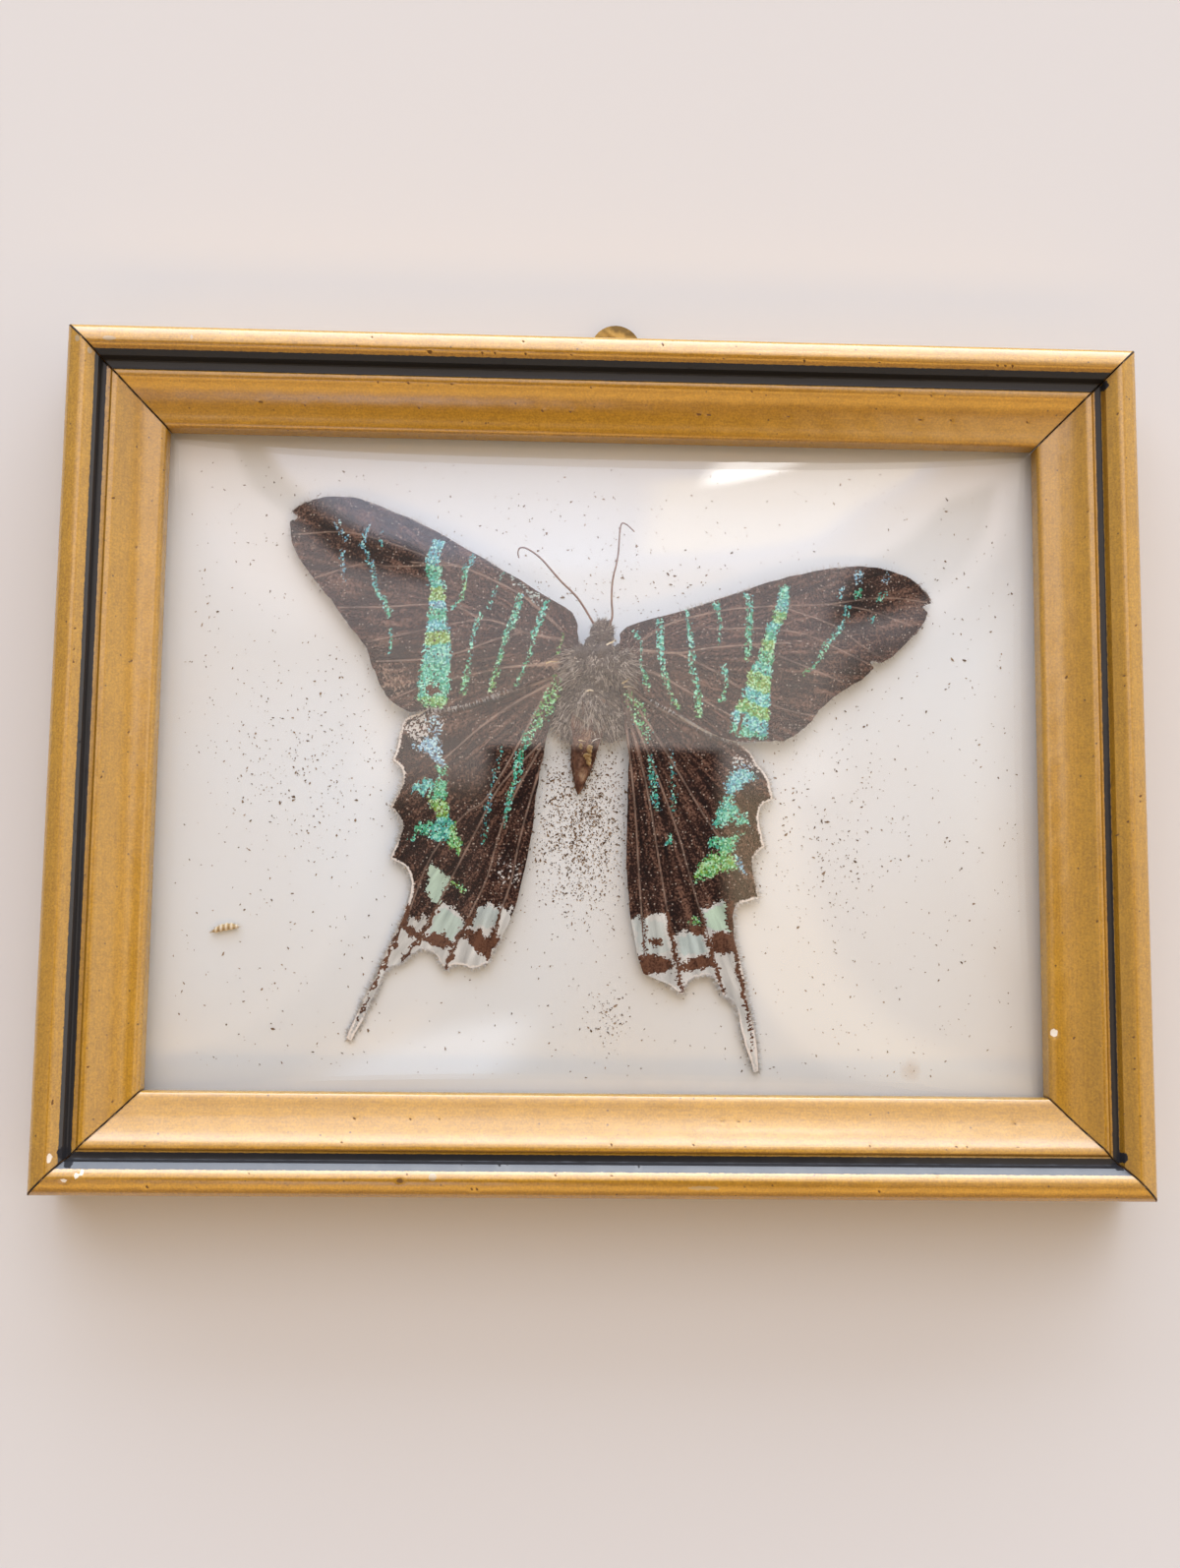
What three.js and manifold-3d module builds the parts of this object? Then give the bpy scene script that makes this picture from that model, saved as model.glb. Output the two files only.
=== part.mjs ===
// A framed moth specimen: a swallow-tailed day-flying moth, fixed to a white card under a convex
// glass in a gilt wooden frame with mitred corners, a pinned back board and a brass hanger.
// Millimetres, +Z out of the front, the back of the frame at Z 0, +Y towards the hanger.
import * as THREE from 'three';
import { mergeVertices } from 'three/addons/utils/BufferGeometryUtils.js';
import Module from 'manifold-3d';

const wasm = await Module();
wasm.setup();

// Frame moulding. INSET is the distance in from the outer edge, heights are above the back.
const FRAME_WIDTH = 127;
const FRAME_HEIGHT = 100.3;
const MITRE_GAP = 0.1;
const SIGHT_INSET = 11.3;
const SIGHT_HEIGHT = 7.2;
const LIP_HEIGHT = 5.3;
const RABBET_INSET = 9.2;
const BEAD_WIDTH = 3.76;
const BEAD_SHOULDER = 9.4;
const BEAD_CREST = 11.9;
const GROOVE_FLOOR = 9.5;
const GROOVE_END = 5.3;

// What lies in the rabbet, from the back to the front.
const RABBET_CLEARANCE = 0.3;
const BOARD_BACK = 1.6;
const BOARD_THICKNESS = 1.4;
const CARD_BACK = 3.1;
const CARD_THICKNESS = 0.6;
const CARD_FACE = CARD_BACK + CARD_THICKNESS;
const GLASS_BACK = 3.8;
const GLASS_THICKNESS = 1.4;
const GLASS_RISE = 6;
const GLASS_FULLNESS = 2.3;
const GLASS_FLANGE = 2.4;
const GLASS_STEPS_X = 22;
const GLASS_STEPS_Y = 18;

// Pins that hold the board.
const BRAD_RADIUS = 0.55;
const BRAD_GRIP = 4;
const BRAD_REACH = 5;
const BRAD_HEIGHT = 0.95;
const BRAD_SPACING_LONG = 60;
const BRAD_SPACING_SHORT = 40;
const HOLE_CLEARANCE = 0.3;

// Hanger plate, let into the back of the top rail.
const HANGER_X = 1.4;
const HANGER_RISE = 5.2;
const HANGER_HEAD_RADIUS = 3.1;
const HANGER_EYE_RADIUS = 1.3;
const HANGER_BASE_WIDTH = 15;
const HANGER_BASE_INSET = 5.4;
const HANGER_BASE_RIM = 3.2;
const HANGER_BACK = 0.5;
const HANGER_THICKNESS = 0.7;
const MORTISE_DEPTH = 1.4;
const MORTISE_CLEARANCE = 0.4;
const NAIL_SPACING = 10;
const NAIL_INSET = 3.6;
const NAIL_HEAD_RADIUS = 1.2;
const NAIL_HEAD_BACK = 0.1;
const NAIL_HEAD_THICKNESS = 0.3;
const NAIL_RADIUS = 0.5;
const NAIL_LENGTH = 6;

// Moth. X and Y are from the middle of the frame, heights are above the card.
const WING_ROOT_X = 3;
const FOREWING = { thickness: 0.2, rootHeight: 2.6, fallOutwards: 0.042, fallBackwards: 0 };
const HINDWING = { thickness: 0.15, rootHeight: 2, fallOutwards: 0.03, fallBackwards: 0.025 };
const HINDWING_ROOT_Y = 9;
const HEAD = { x: 0, y: 15.6, radii: [1.5, 1.5, 1.5], height: 2.2 };
const THORAX = { x: -0.2, y: 10.9, radii: [2.8, 3.0, 2.0], height: 2.1 };
const ABDOMEN_FRONT = [-0.8, 7.5];
const ABDOMEN_TIP = [-2.7, -3.9];
const ABDOMEN_RADIUS = 2;
const ABDOMEN_HEIGHT = 2.1;
const ANTENNA_RADIUS = 0.18;
const ANTENNA_STEPS = 18;

const FOREWING_LEFT = {
  root: [[-3.4, 12.4], [-3.2, 14.6], [-3.7, 17.4]],
  edges: [
    [[-11.2, 22], [-21.5, 27.8], [-27.4, 30.3], [-32.2, 30.9], [-36, 30.1], [-37.4, 28.5]],
    [[-36.9, 24.8], [-33.9, 20.5], [-28.3, 13.3], [-25.7, 7.6], [-22.6, 5.2]],
    [[-16.6, 6.1], [-10.8, 8.1], [-5.6, 10.1]],
  ],
};
const FOREWING_RIGHT = {
  root: [[3.1, 9.6], [3, 12.8], [2.8, 15.9]],
  edges: [
    [[9.4, 18], [20.8, 21.9], [26.3, 23.3], [32.4, 23.7], [36.9, 22.2], [39.3, 19.7]],
    [[37.8, 16.2], [33.2, 12.1], [28.6, 8.7], [24.1, 4.3], [21.3, 2.5]],
    [[15, 2.6], [10.5, 4.6], [5.7, 7.1]],
  ],
};
const HINDWING_LEFT = {
  root: [[-5, 6.1], [-4, 9.9]],
  edges: [
    [[-13.2, 9.5], [-19, 8.2], [-21.2, 5.4], [-23.4, 3.8], [-24.5, -0.4]],
    [[-23.3, -2.9], [-24.7, -5.9]],
    [[-23.3, -8.6], [-24.5, -12.2]],
    [[-22.2, -14], [-22.1, -16.4], [-23.6, -20.2], [-26.9, -28.1], [-29.1, -32.7]],
    [[-26, -28.1], [-23.6, -24.2], [-21.5, -22], [-19.5, -22], [-17.9, -24.8]],
    [[-14.5, -24.4], [-12.3, -22.8], [-9.3, -14.4], [-7.7, -3]],
  ],
};
const HINDWING_RIGHT = {
  root: [[2.4, 4.6], [2.7, 8.6]],
  edges: [
    [[10.5, 4.6], [16.3, 2.1], [18.8, -0.8], [20.1, -4.4]],
    [[18.5, -7], [19.2, -10]],
    [[17.9, -12.4], [18.5, -16]],
    [[16, -17.4], [16, -22.1], [17.5, -31.1], [18.5, -35.8]],
    [[16.2, -30.2], [15, -27.6], [13, -25.4], [10.6, -25.6], [9.5, -27.3]],
    [[6.5, -25.6], [4.7, -23.9], [3.4, -17.5], [2.9, -9.9], [3.1, -1]],
  ],
};
const ANTENNA_LEFT = [
  [-1.5, 17.4, 3.0], [-3.1, 19.3, 3.2], [-5.3, 21.6, 3.1], [-7.5, 24, 2.8], [-9.3, 25.3, 2.5], [-10.2, 24.5, 2.3],
];
const ANTENNA_RIGHT = [
  [0.9, 17.3, 3.0], [0.9, 19.3, 3.2], [1, 21.7, 3.1], [1.6, 24.8, 2.8], [2, 28.1, 2.4], [3.5, 28, 2.2],
];

// Finishes.
const gilt = material('#c8973f', 0.45, 0.6);
const clearGlass = material('#f2f6f4', 0.05, 0);
clearGlass.transparent = true;
clearGlass.opacity = 0.3;
const card = material('#e6e3e2', 0.85, 0);
const board = material('#8a6b48', 0.9, 0);
const steel = material('#8d8c88', 0.4, 1);
const brass = material('#a98446', 0.4, 1);
const wingBrown = material('#3a211b', 0.8, 0);
const fur = material('#6b625b', 0.95, 0);
const abdomenBrown = material('#6a4430', 0.9, 0);

function material(color, roughness, metalness) {
  return new THREE.MeshStandardMaterial({ color, roughness, metalness });
}

function named(name, geometry, finish) {
  const mesh = new THREE.Mesh(geometry, finish);
  mesh.name = name;
  return mesh;
}

// Boolean cuts on closed geometry.
function toSolid(geometry) {
  const bare = geometry.clone();
  bare.deleteAttribute('normal');
  bare.deleteAttribute('uv');
  const welded = mergeVertices(bare, 1e-4);
  return new wasm.Manifold(new wasm.Mesh({
    numProp: 3,
    vertProperties: new Float32Array(welded.attributes.position.array),
    triVerts: new Uint32Array(welded.index.array),
  }));
}

function cutFrom(geometry, cutters) {
  const solid = cutters.reduce((rest, cutter) => rest.subtract(toSolid(cutter)), toSolid(geometry));
  const mesh = solid.getMesh();
  const result = new THREE.BufferGeometry();
  result.setAttribute('position', new THREE.BufferAttribute(new Float32Array(mesh.vertProperties), 3));
  result.setIndex(new THREE.BufferAttribute(new Uint32Array(mesh.triVerts), 1));
  result.computeVertexNormals();
  return result;
}

// Moulding profile, with X as the inset and Y as the height: outer bead, painted groove, a thin
// fillet, the hollow slope, the rolled sight edge and the rabbet behind the lip.
function railProfile() {
  const profile = new THREE.Shape();
  profile.moveTo(0, 0);
  profile.lineTo(0, BEAD_SHOULDER);
  profile.quadraticCurveTo(0.1, BEAD_CREST, 2, BEAD_CREST);
  profile.quadraticCurveTo(3.4, BEAD_CREST, BEAD_WIDTH, 11);
  profile.lineTo(BEAD_WIDTH + 0.24, GROOVE_FLOOR);
  profile.lineTo(GROOVE_END - 0.1, GROOVE_FLOOR);
  profile.lineTo(GROOVE_END, 9.9);
  profile.lineTo(GROOVE_END + 0.6, 9.8);
  profile.lineTo(GROOVE_END + 0.75, 9.5);
  profile.quadraticCurveTo(8.2, 8.3, 10, 7.9);
  profile.quadraticCurveTo(SIGHT_INSET, 7.8, SIGHT_INSET, SIGHT_HEIGHT);
  profile.lineTo(SIGHT_INSET, LIP_HEIGHT);
  profile.lineTo(RABBET_INSET, LIP_HEIGHT);
  profile.lineTo(RABBET_INSET, 0);
  return profile;
}

// A rail along X with its outer edge on Y 0, its front up and both ends cut to a mitre.
function railGeometry(length) {
  const settings = { depth: 1, bevelEnabled: false, curveSegments: 5 };
  const geometry = new THREE.ExtrudeGeometry(railProfile(), settings);
  const position = geometry.attributes.position;
  for (let i = 0; i < position.count; i += 1) {
    const inset = position.getX(i);
    const height = position.getY(i);
    const end = position.getZ(i) > 0.5 ? -1 : 1;
    position.setXYZ(i, end * (length / 2 - inset - MITRE_GAP), -inset, height);
  }
  geometry.computeVertexNormals();
  return geometry;
}

// A round rod along Y from one inset to another.
function rodAcross(radius, x, height, fromInset, toInset) {
  const rod = new THREE.CylinderGeometry(radius, radius, toInset - fromInset, 10);
  rod.translate(x, -(fromInset + toInset) / 2, height);
  return rod;
}

// One side of the frame: the rail and the two pins driven into its rabbet wall.
function frameSide(name, length, bradNames, bradSpacing, extraCuts) {
  const side = new THREE.Group();
  const holes = [];
  bradNames.forEach((bradName, index) => {
    const x = (index - 0.5) * bradSpacing;
    const start = RABBET_INSET - BRAD_GRIP;
    const brad = rodAcross(BRAD_RADIUS, x, BRAD_HEIGHT, start, RABBET_INSET + BRAD_REACH);
    side.add(named(bradName, brad, steel));
    const holeRadius = BRAD_RADIUS + HOLE_CLEARANCE;
    holes.push(rodAcross(holeRadius, x, BRAD_HEIGHT, start - HOLE_CLEARANCE, RABBET_INSET + 1));
  });
  side.add(named(name, cutFrom(railGeometry(length), [...holes, ...extraCuts]), gilt));
  return side;
}

// The recess for the hanger plate and the holes for its nails, in the top rail's own frame.
function hangerCuts() {
  const width = HANGER_BASE_WIDTH + 2 * MORTISE_CLEARANCE;
  const depth = HANGER_BASE_INSET + MORTISE_CLEARANCE;
  const mortise = new THREE.BoxGeometry(width, 2 * depth, 2 * MORTISE_DEPTH);
  mortise.translate(HANGER_X, 0, 0);
  const holes = [-1, 1].map((side) => {
    const radius = NAIL_RADIUS + HOLE_CLEARANCE;
    const hole = new THREE.CylinderGeometry(radius, radius, 2 * (NAIL_LENGTH + HOLE_CLEARANCE), 10);
    hole.rotateX(Math.PI / 2);
    hole.translate(HANGER_X + side * NAIL_SPACING / 2, -NAIL_INSET, 0);
    return hole;
  });
  return [mortise, ...holes];
}

// The flat plate: a straight base that narrows to a round head with an eye, standing over the rail.
function hangerGeometry() {
  const eyeY = HANGER_RISE - HANGER_HEAD_RADIUS;
  const half = HANGER_BASE_WIDTH / 2;
  const plate = new THREE.Shape();
  plate.moveTo(-half, -HANGER_BASE_INSET);
  plate.lineTo(half, -HANGER_BASE_INSET);
  plate.lineTo(half, HANGER_BASE_RIM - HANGER_BASE_INSET);
  plate.quadraticCurveTo(HANGER_HEAD_RADIUS + 0.8, -1.2, HANGER_HEAD_RADIUS, eyeY);
  plate.absarc(0, eyeY, HANGER_HEAD_RADIUS, 0, Math.PI, false);
  plate.quadraticCurveTo(-HANGER_HEAD_RADIUS - 0.8, -1.2, -half, HANGER_BASE_RIM - HANGER_BASE_INSET);
  plate.holes.push(roundHole(0, eyeY, HANGER_EYE_RADIUS));
  [-1, 1].forEach((side) => {
    plate.holes.push(roundHole(side * NAIL_SPACING / 2, -NAIL_INSET, NAIL_RADIUS + HOLE_CLEARANCE));
  });
  return new THREE.ExtrudeGeometry(plate, { depth: HANGER_THICKNESS, bevelEnabled: false, curveSegments: 8 });
}

function roundHole(x, y, radius) {
  const hole = new THREE.Path();
  hole.absarc(x, y, radius, 0, 2 * Math.PI, true);
  return hole;
}

// A flat-headed nail pointing up into the wood, its head below the plate.
function nailGeometry() {
  const profile = [
    new THREE.Vector2(0, NAIL_HEAD_BACK),
    new THREE.Vector2(NAIL_HEAD_RADIUS, NAIL_HEAD_BACK),
    new THREE.Vector2(NAIL_HEAD_RADIUS, NAIL_HEAD_BACK + NAIL_HEAD_THICKNESS),
    new THREE.Vector2(NAIL_RADIUS, NAIL_HEAD_BACK + NAIL_HEAD_THICKNESS),
    new THREE.Vector2(NAIL_RADIUS, NAIL_LENGTH - 1),
    new THREE.Vector2(0, NAIL_LENGTH),
  ];
  const nail = new THREE.LatheGeometry(profile, 12);
  nail.rotateX(Math.PI / 2);
  return nail;
}

// A flat sheet that fits the rabbet.
function rabbetSheet(back, thickness) {
  const width = FRAME_WIDTH - 2 * (RABBET_INSET + RABBET_CLEARANCE);
  const height = FRAME_HEIGHT - 2 * (RABBET_INSET + RABBET_CLEARANCE);
  const sheet = new THREE.BoxGeometry(width, height, thickness);
  sheet.translate(0, 0, back + thickness / 2);
  return sheet;
}

// How far the glass rises at a place, as a share of its full rise in that direction.
function swell(distance, halfWidth) {
  const share = Math.min(Math.abs(distance) / halfWidth, 1);
  return 1 - share ** GLASS_FULLNESS;
}

// Moves a grid line of the glass so that the outermost strip is the flat flange.
function glassLine(value, half, steps) {
  const lastInner = 1 - 2 / steps;
  const share = value / half;
  return Math.abs(share) > lastInner + 1e-6 ? value : (share / lastInner) * (half - GLASS_FLANGE);
}

function glassGeometry() {
  const halfX = FRAME_WIDTH / 2 - RABBET_INSET - RABBET_CLEARANCE;
  const halfY = FRAME_HEIGHT / 2 - RABBET_INSET - RABBET_CLEARANCE;
  const sheet = new THREE.BoxGeometry(
    2 * halfX, 2 * halfY, GLASS_THICKNESS, GLASS_STEPS_X, GLASS_STEPS_Y, 1,
  );
  const position = sheet.attributes.position;
  for (let i = 0; i < position.count; i += 1) {
    const x = glassLine(position.getX(i), halfX, GLASS_STEPS_X);
    const y = glassLine(position.getY(i), halfY, GLASS_STEPS_Y);
    const rise = GLASS_RISE * swell(x, halfX - GLASS_FLANGE) * swell(y, halfY - GLASS_FLANGE);
    position.setXYZ(i, x, y, position.getZ(i) + GLASS_BACK + GLASS_THICKNESS / 2 + rise);
  }
  sheet.computeVertexNormals();
  return sheet;
}

// A wing plate: the outline runs from the root along each edge, and the plate falls away from the root.
function wingGeometry(outline, wing) {
  const shape = new THREE.Shape();
  outline.root.forEach(([x, y], index) => {
    if (index === 0) shape.moveTo(x, y);
    else shape.lineTo(x, y);
  });
  outline.edges.forEach((edge) => {
    shape.splineThru(edge.map(([x, y]) => new THREE.Vector2(x, y)));
  });
  const settings = { depth: wing.thickness, bevelEnabled: false, curveSegments: 3 };
  const plate = new THREE.ExtrudeGeometry(shape, settings);
  const position = plate.attributes.position;
  for (let i = 0; i < position.count; i += 1) {
    const outwards = Math.abs(position.getX(i)) - WING_ROOT_X;
    const backwards = HINDWING_ROOT_Y - position.getY(i);
    const fall = wing.fallOutwards * outwards + wing.fallBackwards * backwards;
    position.setZ(i, position.getZ(i) + CARD_FACE + wing.rootHeight - fall);
  }
  plate.computeVertexNormals();
  return plate;
}

function ellipsoid(piece) {
  const body = new THREE.SphereGeometry(1, 16, 10);
  body.scale(...piece.radii);
  body.translate(piece.x, piece.y, CARD_FACE + piece.height);
  return body;
}

// The abdomen tapers from its broad front to a blunt tip, lying along the card.
function abdomenGeometry() {
  const front = new THREE.Vector2(...ABDOMEN_FRONT);
  const tip = new THREE.Vector2(...ABDOMEN_TIP);
  const length = front.distanceTo(tip);
  const shares = [[0, 0], [0.03, 0.6], [0.12, 0.85], [0.3, 1], [0.5, 0.95], [0.72, 0.75], [0.9, 0.45], [1, 0]];
  const profile = shares.map(([along, radius]) => new THREE.Vector2(radius * ABDOMEN_RADIUS, along * length));
  const body = new THREE.LatheGeometry(profile, 14);
  const heading = Math.atan2(tip.y - front.y, tip.x - front.x);
  body.rotateZ(heading - Math.PI / 2);
  body.translate(front.x, front.y, CARD_FACE + ABDOMEN_HEIGHT);
  return body;
}

function antennaGeometry(points) {
  const route = points.map(([x, y, height]) => new THREE.Vector3(x, y, CARD_FACE + height));
  const section = new THREE.Shape();
  section.absarc(0, 0, ANTENNA_RADIUS, 0, 2 * Math.PI, false);
  return new THREE.ExtrudeGeometry(section, {
    extrudePath: new THREE.CatmullRomCurve3(route),
    steps: ANTENNA_STEPS,
    bevelEnabled: false,
    curveSegments: 3,
  });
}

function buildFrame() {
  const group = new THREE.Group();
  const halfX = FRAME_WIDTH / 2;
  const halfY = FRAME_HEIGHT / 2;
  const sides = [
    ['rail_top', FRAME_WIDTH, ['brad_top_left', 'brad_top_right'], 0, halfY, 0],
    ['rail_left', FRAME_HEIGHT, ['brad_left_lower', 'brad_left_upper'], -halfX, 0, 1],
    ['rail_bottom', FRAME_WIDTH, ['brad_bottom_right', 'brad_bottom_left'], 0, -halfY, 2],
    ['rail_right', FRAME_HEIGHT, ['brad_right_upper', 'brad_right_lower'], halfX, 0, 3],
  ];
  sides.forEach(([name, length, bradNames, x, y, quarterTurns]) => {
    const spacing = length === FRAME_WIDTH ? BRAD_SPACING_LONG : BRAD_SPACING_SHORT;
    const side = frameSide(name, length, bradNames, spacing, name === 'rail_top' ? hangerCuts() : []);
    side.position.set(x, y, 0);
    side.rotation.z = quarterTurns * Math.PI / 2;
    group.add(side);
  });
  group.add(named('back_board', rabbetSheet(BOARD_BACK, BOARD_THICKNESS), board));
  group.add(named('mount_card', rabbetSheet(CARD_BACK, CARD_THICKNESS), card));
  group.add(named('convex_glass', glassGeometry(), clearGlass));
  group.add(buildHanger());
  return group;
}

function buildHanger() {
  const group = new THREE.Group();
  group.position.set(HANGER_X, FRAME_HEIGHT / 2, 0);
  const plate = named('hanger_plate', hangerGeometry(), brass);
  plate.position.z = HANGER_BACK;
  group.add(plate);
  [['hanger_nail_left', -1], ['hanger_nail_right', 1]].forEach(([name, side]) => {
    const nail = named(name, nailGeometry(), steel);
    nail.position.set(side * NAIL_SPACING / 2, -NAIL_INSET, 0);
    group.add(nail);
  });
  return group;
}

function buildMoth() {
  const group = new THREE.Group();
  group.add(named('head', ellipsoid(HEAD), fur));
  group.add(named('thorax', ellipsoid(THORAX), fur));
  group.add(named('abdomen', abdomenGeometry(), abdomenBrown));
  group.add(named('antenna_left', antennaGeometry(ANTENNA_LEFT), abdomenBrown));
  group.add(named('antenna_right', antennaGeometry(ANTENNA_RIGHT), abdomenBrown));
  group.add(named('forewing_left', wingGeometry(FOREWING_LEFT, FOREWING), wingBrown));
  group.add(named('forewing_right', wingGeometry(FOREWING_RIGHT, FOREWING), wingBrown));
  group.add(named('hindwing_left', wingGeometry(HINDWING_LEFT, HINDWING), wingBrown));
  group.add(named('hindwing_right', wingGeometry(HINDWING_RIGHT, HINDWING), wingBrown));
  return group;
}

// The origin is under the middle of the whole outline, hanger included, on the back face.
const specimen = new THREE.Group();
specimen.add(buildFrame(), buildMoth());
specimen.position.y = -HANGER_RISE / 2;

export default specimen;
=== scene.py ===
"""Framed moth specimen: a mitred gilt frame with domed glass over a worn, green-banded moth on white card.

Lengths are millimetres. Places on the card are counted from the middle of the frame, and heights over the
card from its face. Everything is moved to the part's own origin, in metres, when a mesh is written.
"""

import logging
import math
from collections.abc import Callable, Iterator, Sequence
from contextlib import contextmanager
from dataclasses import dataclass, field
from enum import Enum
from functools import partial

import bpy
import numpy as np
from mathutils import Euler, Matrix, Vector


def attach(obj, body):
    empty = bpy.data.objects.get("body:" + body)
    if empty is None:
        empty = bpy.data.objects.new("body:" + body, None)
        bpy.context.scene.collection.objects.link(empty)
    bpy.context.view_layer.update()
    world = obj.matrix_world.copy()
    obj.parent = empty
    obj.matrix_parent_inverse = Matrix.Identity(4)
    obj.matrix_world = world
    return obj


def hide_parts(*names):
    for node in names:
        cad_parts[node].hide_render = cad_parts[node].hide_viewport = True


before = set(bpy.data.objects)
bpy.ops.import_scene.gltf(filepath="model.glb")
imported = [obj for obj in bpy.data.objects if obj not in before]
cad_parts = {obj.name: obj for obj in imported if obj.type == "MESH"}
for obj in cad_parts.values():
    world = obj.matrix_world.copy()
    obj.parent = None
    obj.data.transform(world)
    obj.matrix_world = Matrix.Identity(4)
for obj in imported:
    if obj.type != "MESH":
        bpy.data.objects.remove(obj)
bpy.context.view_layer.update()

LOG = logging.getLogger("framed_moth")
MM = 0.001
MIDDLE = np.array((0.0, -2.6, 0.0))  # of the frame: the hanger's head makes up the rest of the height
CARD_FACE = 3.7
FRAME_SIZE = (127.0, 100.3)
SHEET_SIZE = (108.0, 81.3)
Piece = bpy.types.Object
Point = tuple[float, float]
Place = tuple[float, float, float]
Line = Sequence[tuple[float, ...]]
Inputs = dict[str | int, object] | Sequence[object]
Adder = Callable[..., bpy.types.Node]


def linear(code: str) -> tuple[float, ...]:
    """Turns an sRGB hex colour into scene-linear RGBA.

    Args:
        code: Six hex digits.

    Returns:
        The four linear channels, opaque.
    """
    shares = [int(code[i : i + 2], 16) / 255 for i in (0, 2, 4)]
    return tuple(s / 12.92 if s <= 0.04045 else ((s + 0.055) / 1.055) ** 2.4 for s in shares) + (1.0,)


def feed(tree: bpy.types.NodeTree, node: bpy.types.Node, inputs: Inputs) -> None:
    """Sets a node's inputs or links them from other nodes.

    Args:
        tree: The node's tree.
        node: The node.
        inputs: Values, sockets to link from, or nodes whose first live output is meant.
    """
    for key, value in inputs.items() if isinstance(inputs, dict) else enumerate(inputs):
        if isinstance(value, bpy.types.Node):
            value = next(output for output in value.outputs if output.enabled)
        if isinstance(value, bpy.types.NodeSocket):
            tree.links.new(value, node.inputs[key])
        else:
            node.inputs[key].default_value = value


def add_node(tree: bpy.types.NodeTree, kind: str, inputs: Inputs = (), stops: Line = (), **settings) -> bpy.types.Node:
    """Adds one shader node, sets it and links what feeds it.

    Args:
        tree: The tree that gets the node.
        kind: The node's type, without the words that all shader nodes start with.
        inputs: What feeds it, in order or by input name or number.
        stops: Places and hex colours of a colour ramp.
        **settings: The node's own settings.

    Returns:
        The node.
    """
    node = tree.nodes.new(f"ShaderNode{kind}")
    for name, value in settings.items():
        setattr(node, name, value)
    feed(tree, node, inputs)
    for number, (place, code) in enumerate(stops):
        ramp = node.color_ramp.elements
        stop = ramp[number] if number < 2 else ramp.new(place)
        stop.position, stop.color = place, linear(code)
    return node


def choose(piece: Piece) -> None:
    """Makes one object the only selected and the active one."""
    bpy.ops.object.select_all(action="DESELECT")
    piece.select_set(True)
    bpy.context.view_layer.objects.active = piece


@contextmanager
def editing(piece: Piece) -> Iterator[None]:
    """Holds edit mode on a piece with everything selected.

    Args:
        piece: The mesh object to edit.
    """
    choose(piece)
    bpy.ops.object.mode_set(mode="EDIT")
    bpy.ops.mesh.select_all(action="SELECT")
    yield
    bpy.ops.object.mode_set(mode="OBJECT")


def apply_modifier(piece: Piece, kind: str, **settings) -> None:
    """Puts a modifier on a piece and applies it.

    Args:
        piece: The mesh object.
        kind: The modifier's type.
        **settings: The modifier's own settings.
    """
    choose(piece)
    modifier = piece.modifiers.new(kind.title(), kind)
    for name, value in settings.items():
        setattr(modifier, name, value)
    bpy.ops.object.modifier_apply(modifier=modifier.name)


def started(name: str, primitive: Callable, **settings) -> Piece:
    """Adds a primitive mesh to model a piece from.

    Args:
        name: The object's name.
        primitive: The operator that adds it.
        **settings: The operator's own settings.

    Returns:
        The new object, the only selected and the active one.
    """
    bpy.ops.object.select_all(action="DESELECT")
    primitive(**settings)
    piece = bpy.context.active_object
    piece.name = name
    return piece


def corners(piece: Piece) -> np.ndarray:
    """Reads a mesh's vertices.

    Args:
        piece: The mesh object.

    Returns:
        The places in millimetres, one row each.
    """
    flat = np.empty(len(piece.data.vertices) * 3)
    piece.data.vertices.foreach_get("co", flat)
    return flat.reshape(-1, 3) / MM


def set_corners(piece: Piece, places: np.ndarray) -> None:
    """Writes a mesh's vertices.

    Args:
        piece: The mesh object.
        places: The places in millimetres, one row each.
    """
    piece.data.vertices.foreach_set("co", (places * MM).ravel())
    piece.data.update()


def keep_values(piece: Piece, name: str, values: np.ndarray) -> None:
    """Stores a value or a colour per vertex for the finish to read.

    Args:
        piece: The mesh object.
        name: The attribute's name.
        values: One number or four channels for each vertex.
    """
    colour = values.ndim == 2
    layer = piece.data.attributes.new(name, "FLOAT_COLOR" if colour else "FLOAT", "POINT")
    layer.data.foreach_set("color" if colour else "value", values.astype(np.float32).ravel())


def mesh_from(name: str, places: np.ndarray, faces: Sequence[Sequence[int]]) -> Piece:
    """Makes a mesh object from arrays, for the loose and the hairy pieces.

    Args:
        name: The object's name.
        places: Vertices in millimetres.
        faces: Vertex numbers of each face.

    Returns:
        The new object, linked to the scene.
    """
    mesh = bpy.data.meshes.new(name)
    mesh.from_pydata((places * MM).tolist(), [], faces)
    piece = bpy.data.objects.new(name, mesh)
    bpy.context.collection.objects.link(piece)
    return piece


def smooth(piece: Piece, angle: float = 35.0) -> None:
    """Shades a piece smooth, leaving edges sharper than an angle crisp.

    Args:
        piece: The mesh object.
        angle: The angle in degrees.
    """
    choose(piece)
    bpy.ops.object.shade_smooth_by_angle(angle=math.radians(angle))


def joined(name: str, *pieces: Piece) -> Piece:
    """Joins objects into the first of them.

    Args:
        name: The whole's name.
        *pieces: The objects.

    Returns:
        The first object, now holding all the meshes.
    """
    whole = pieces[0]
    choose(whole)
    for piece in pieces:
        piece.select_set(True)
    bpy.ops.object.join()
    whole.name = name
    return whole


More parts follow.
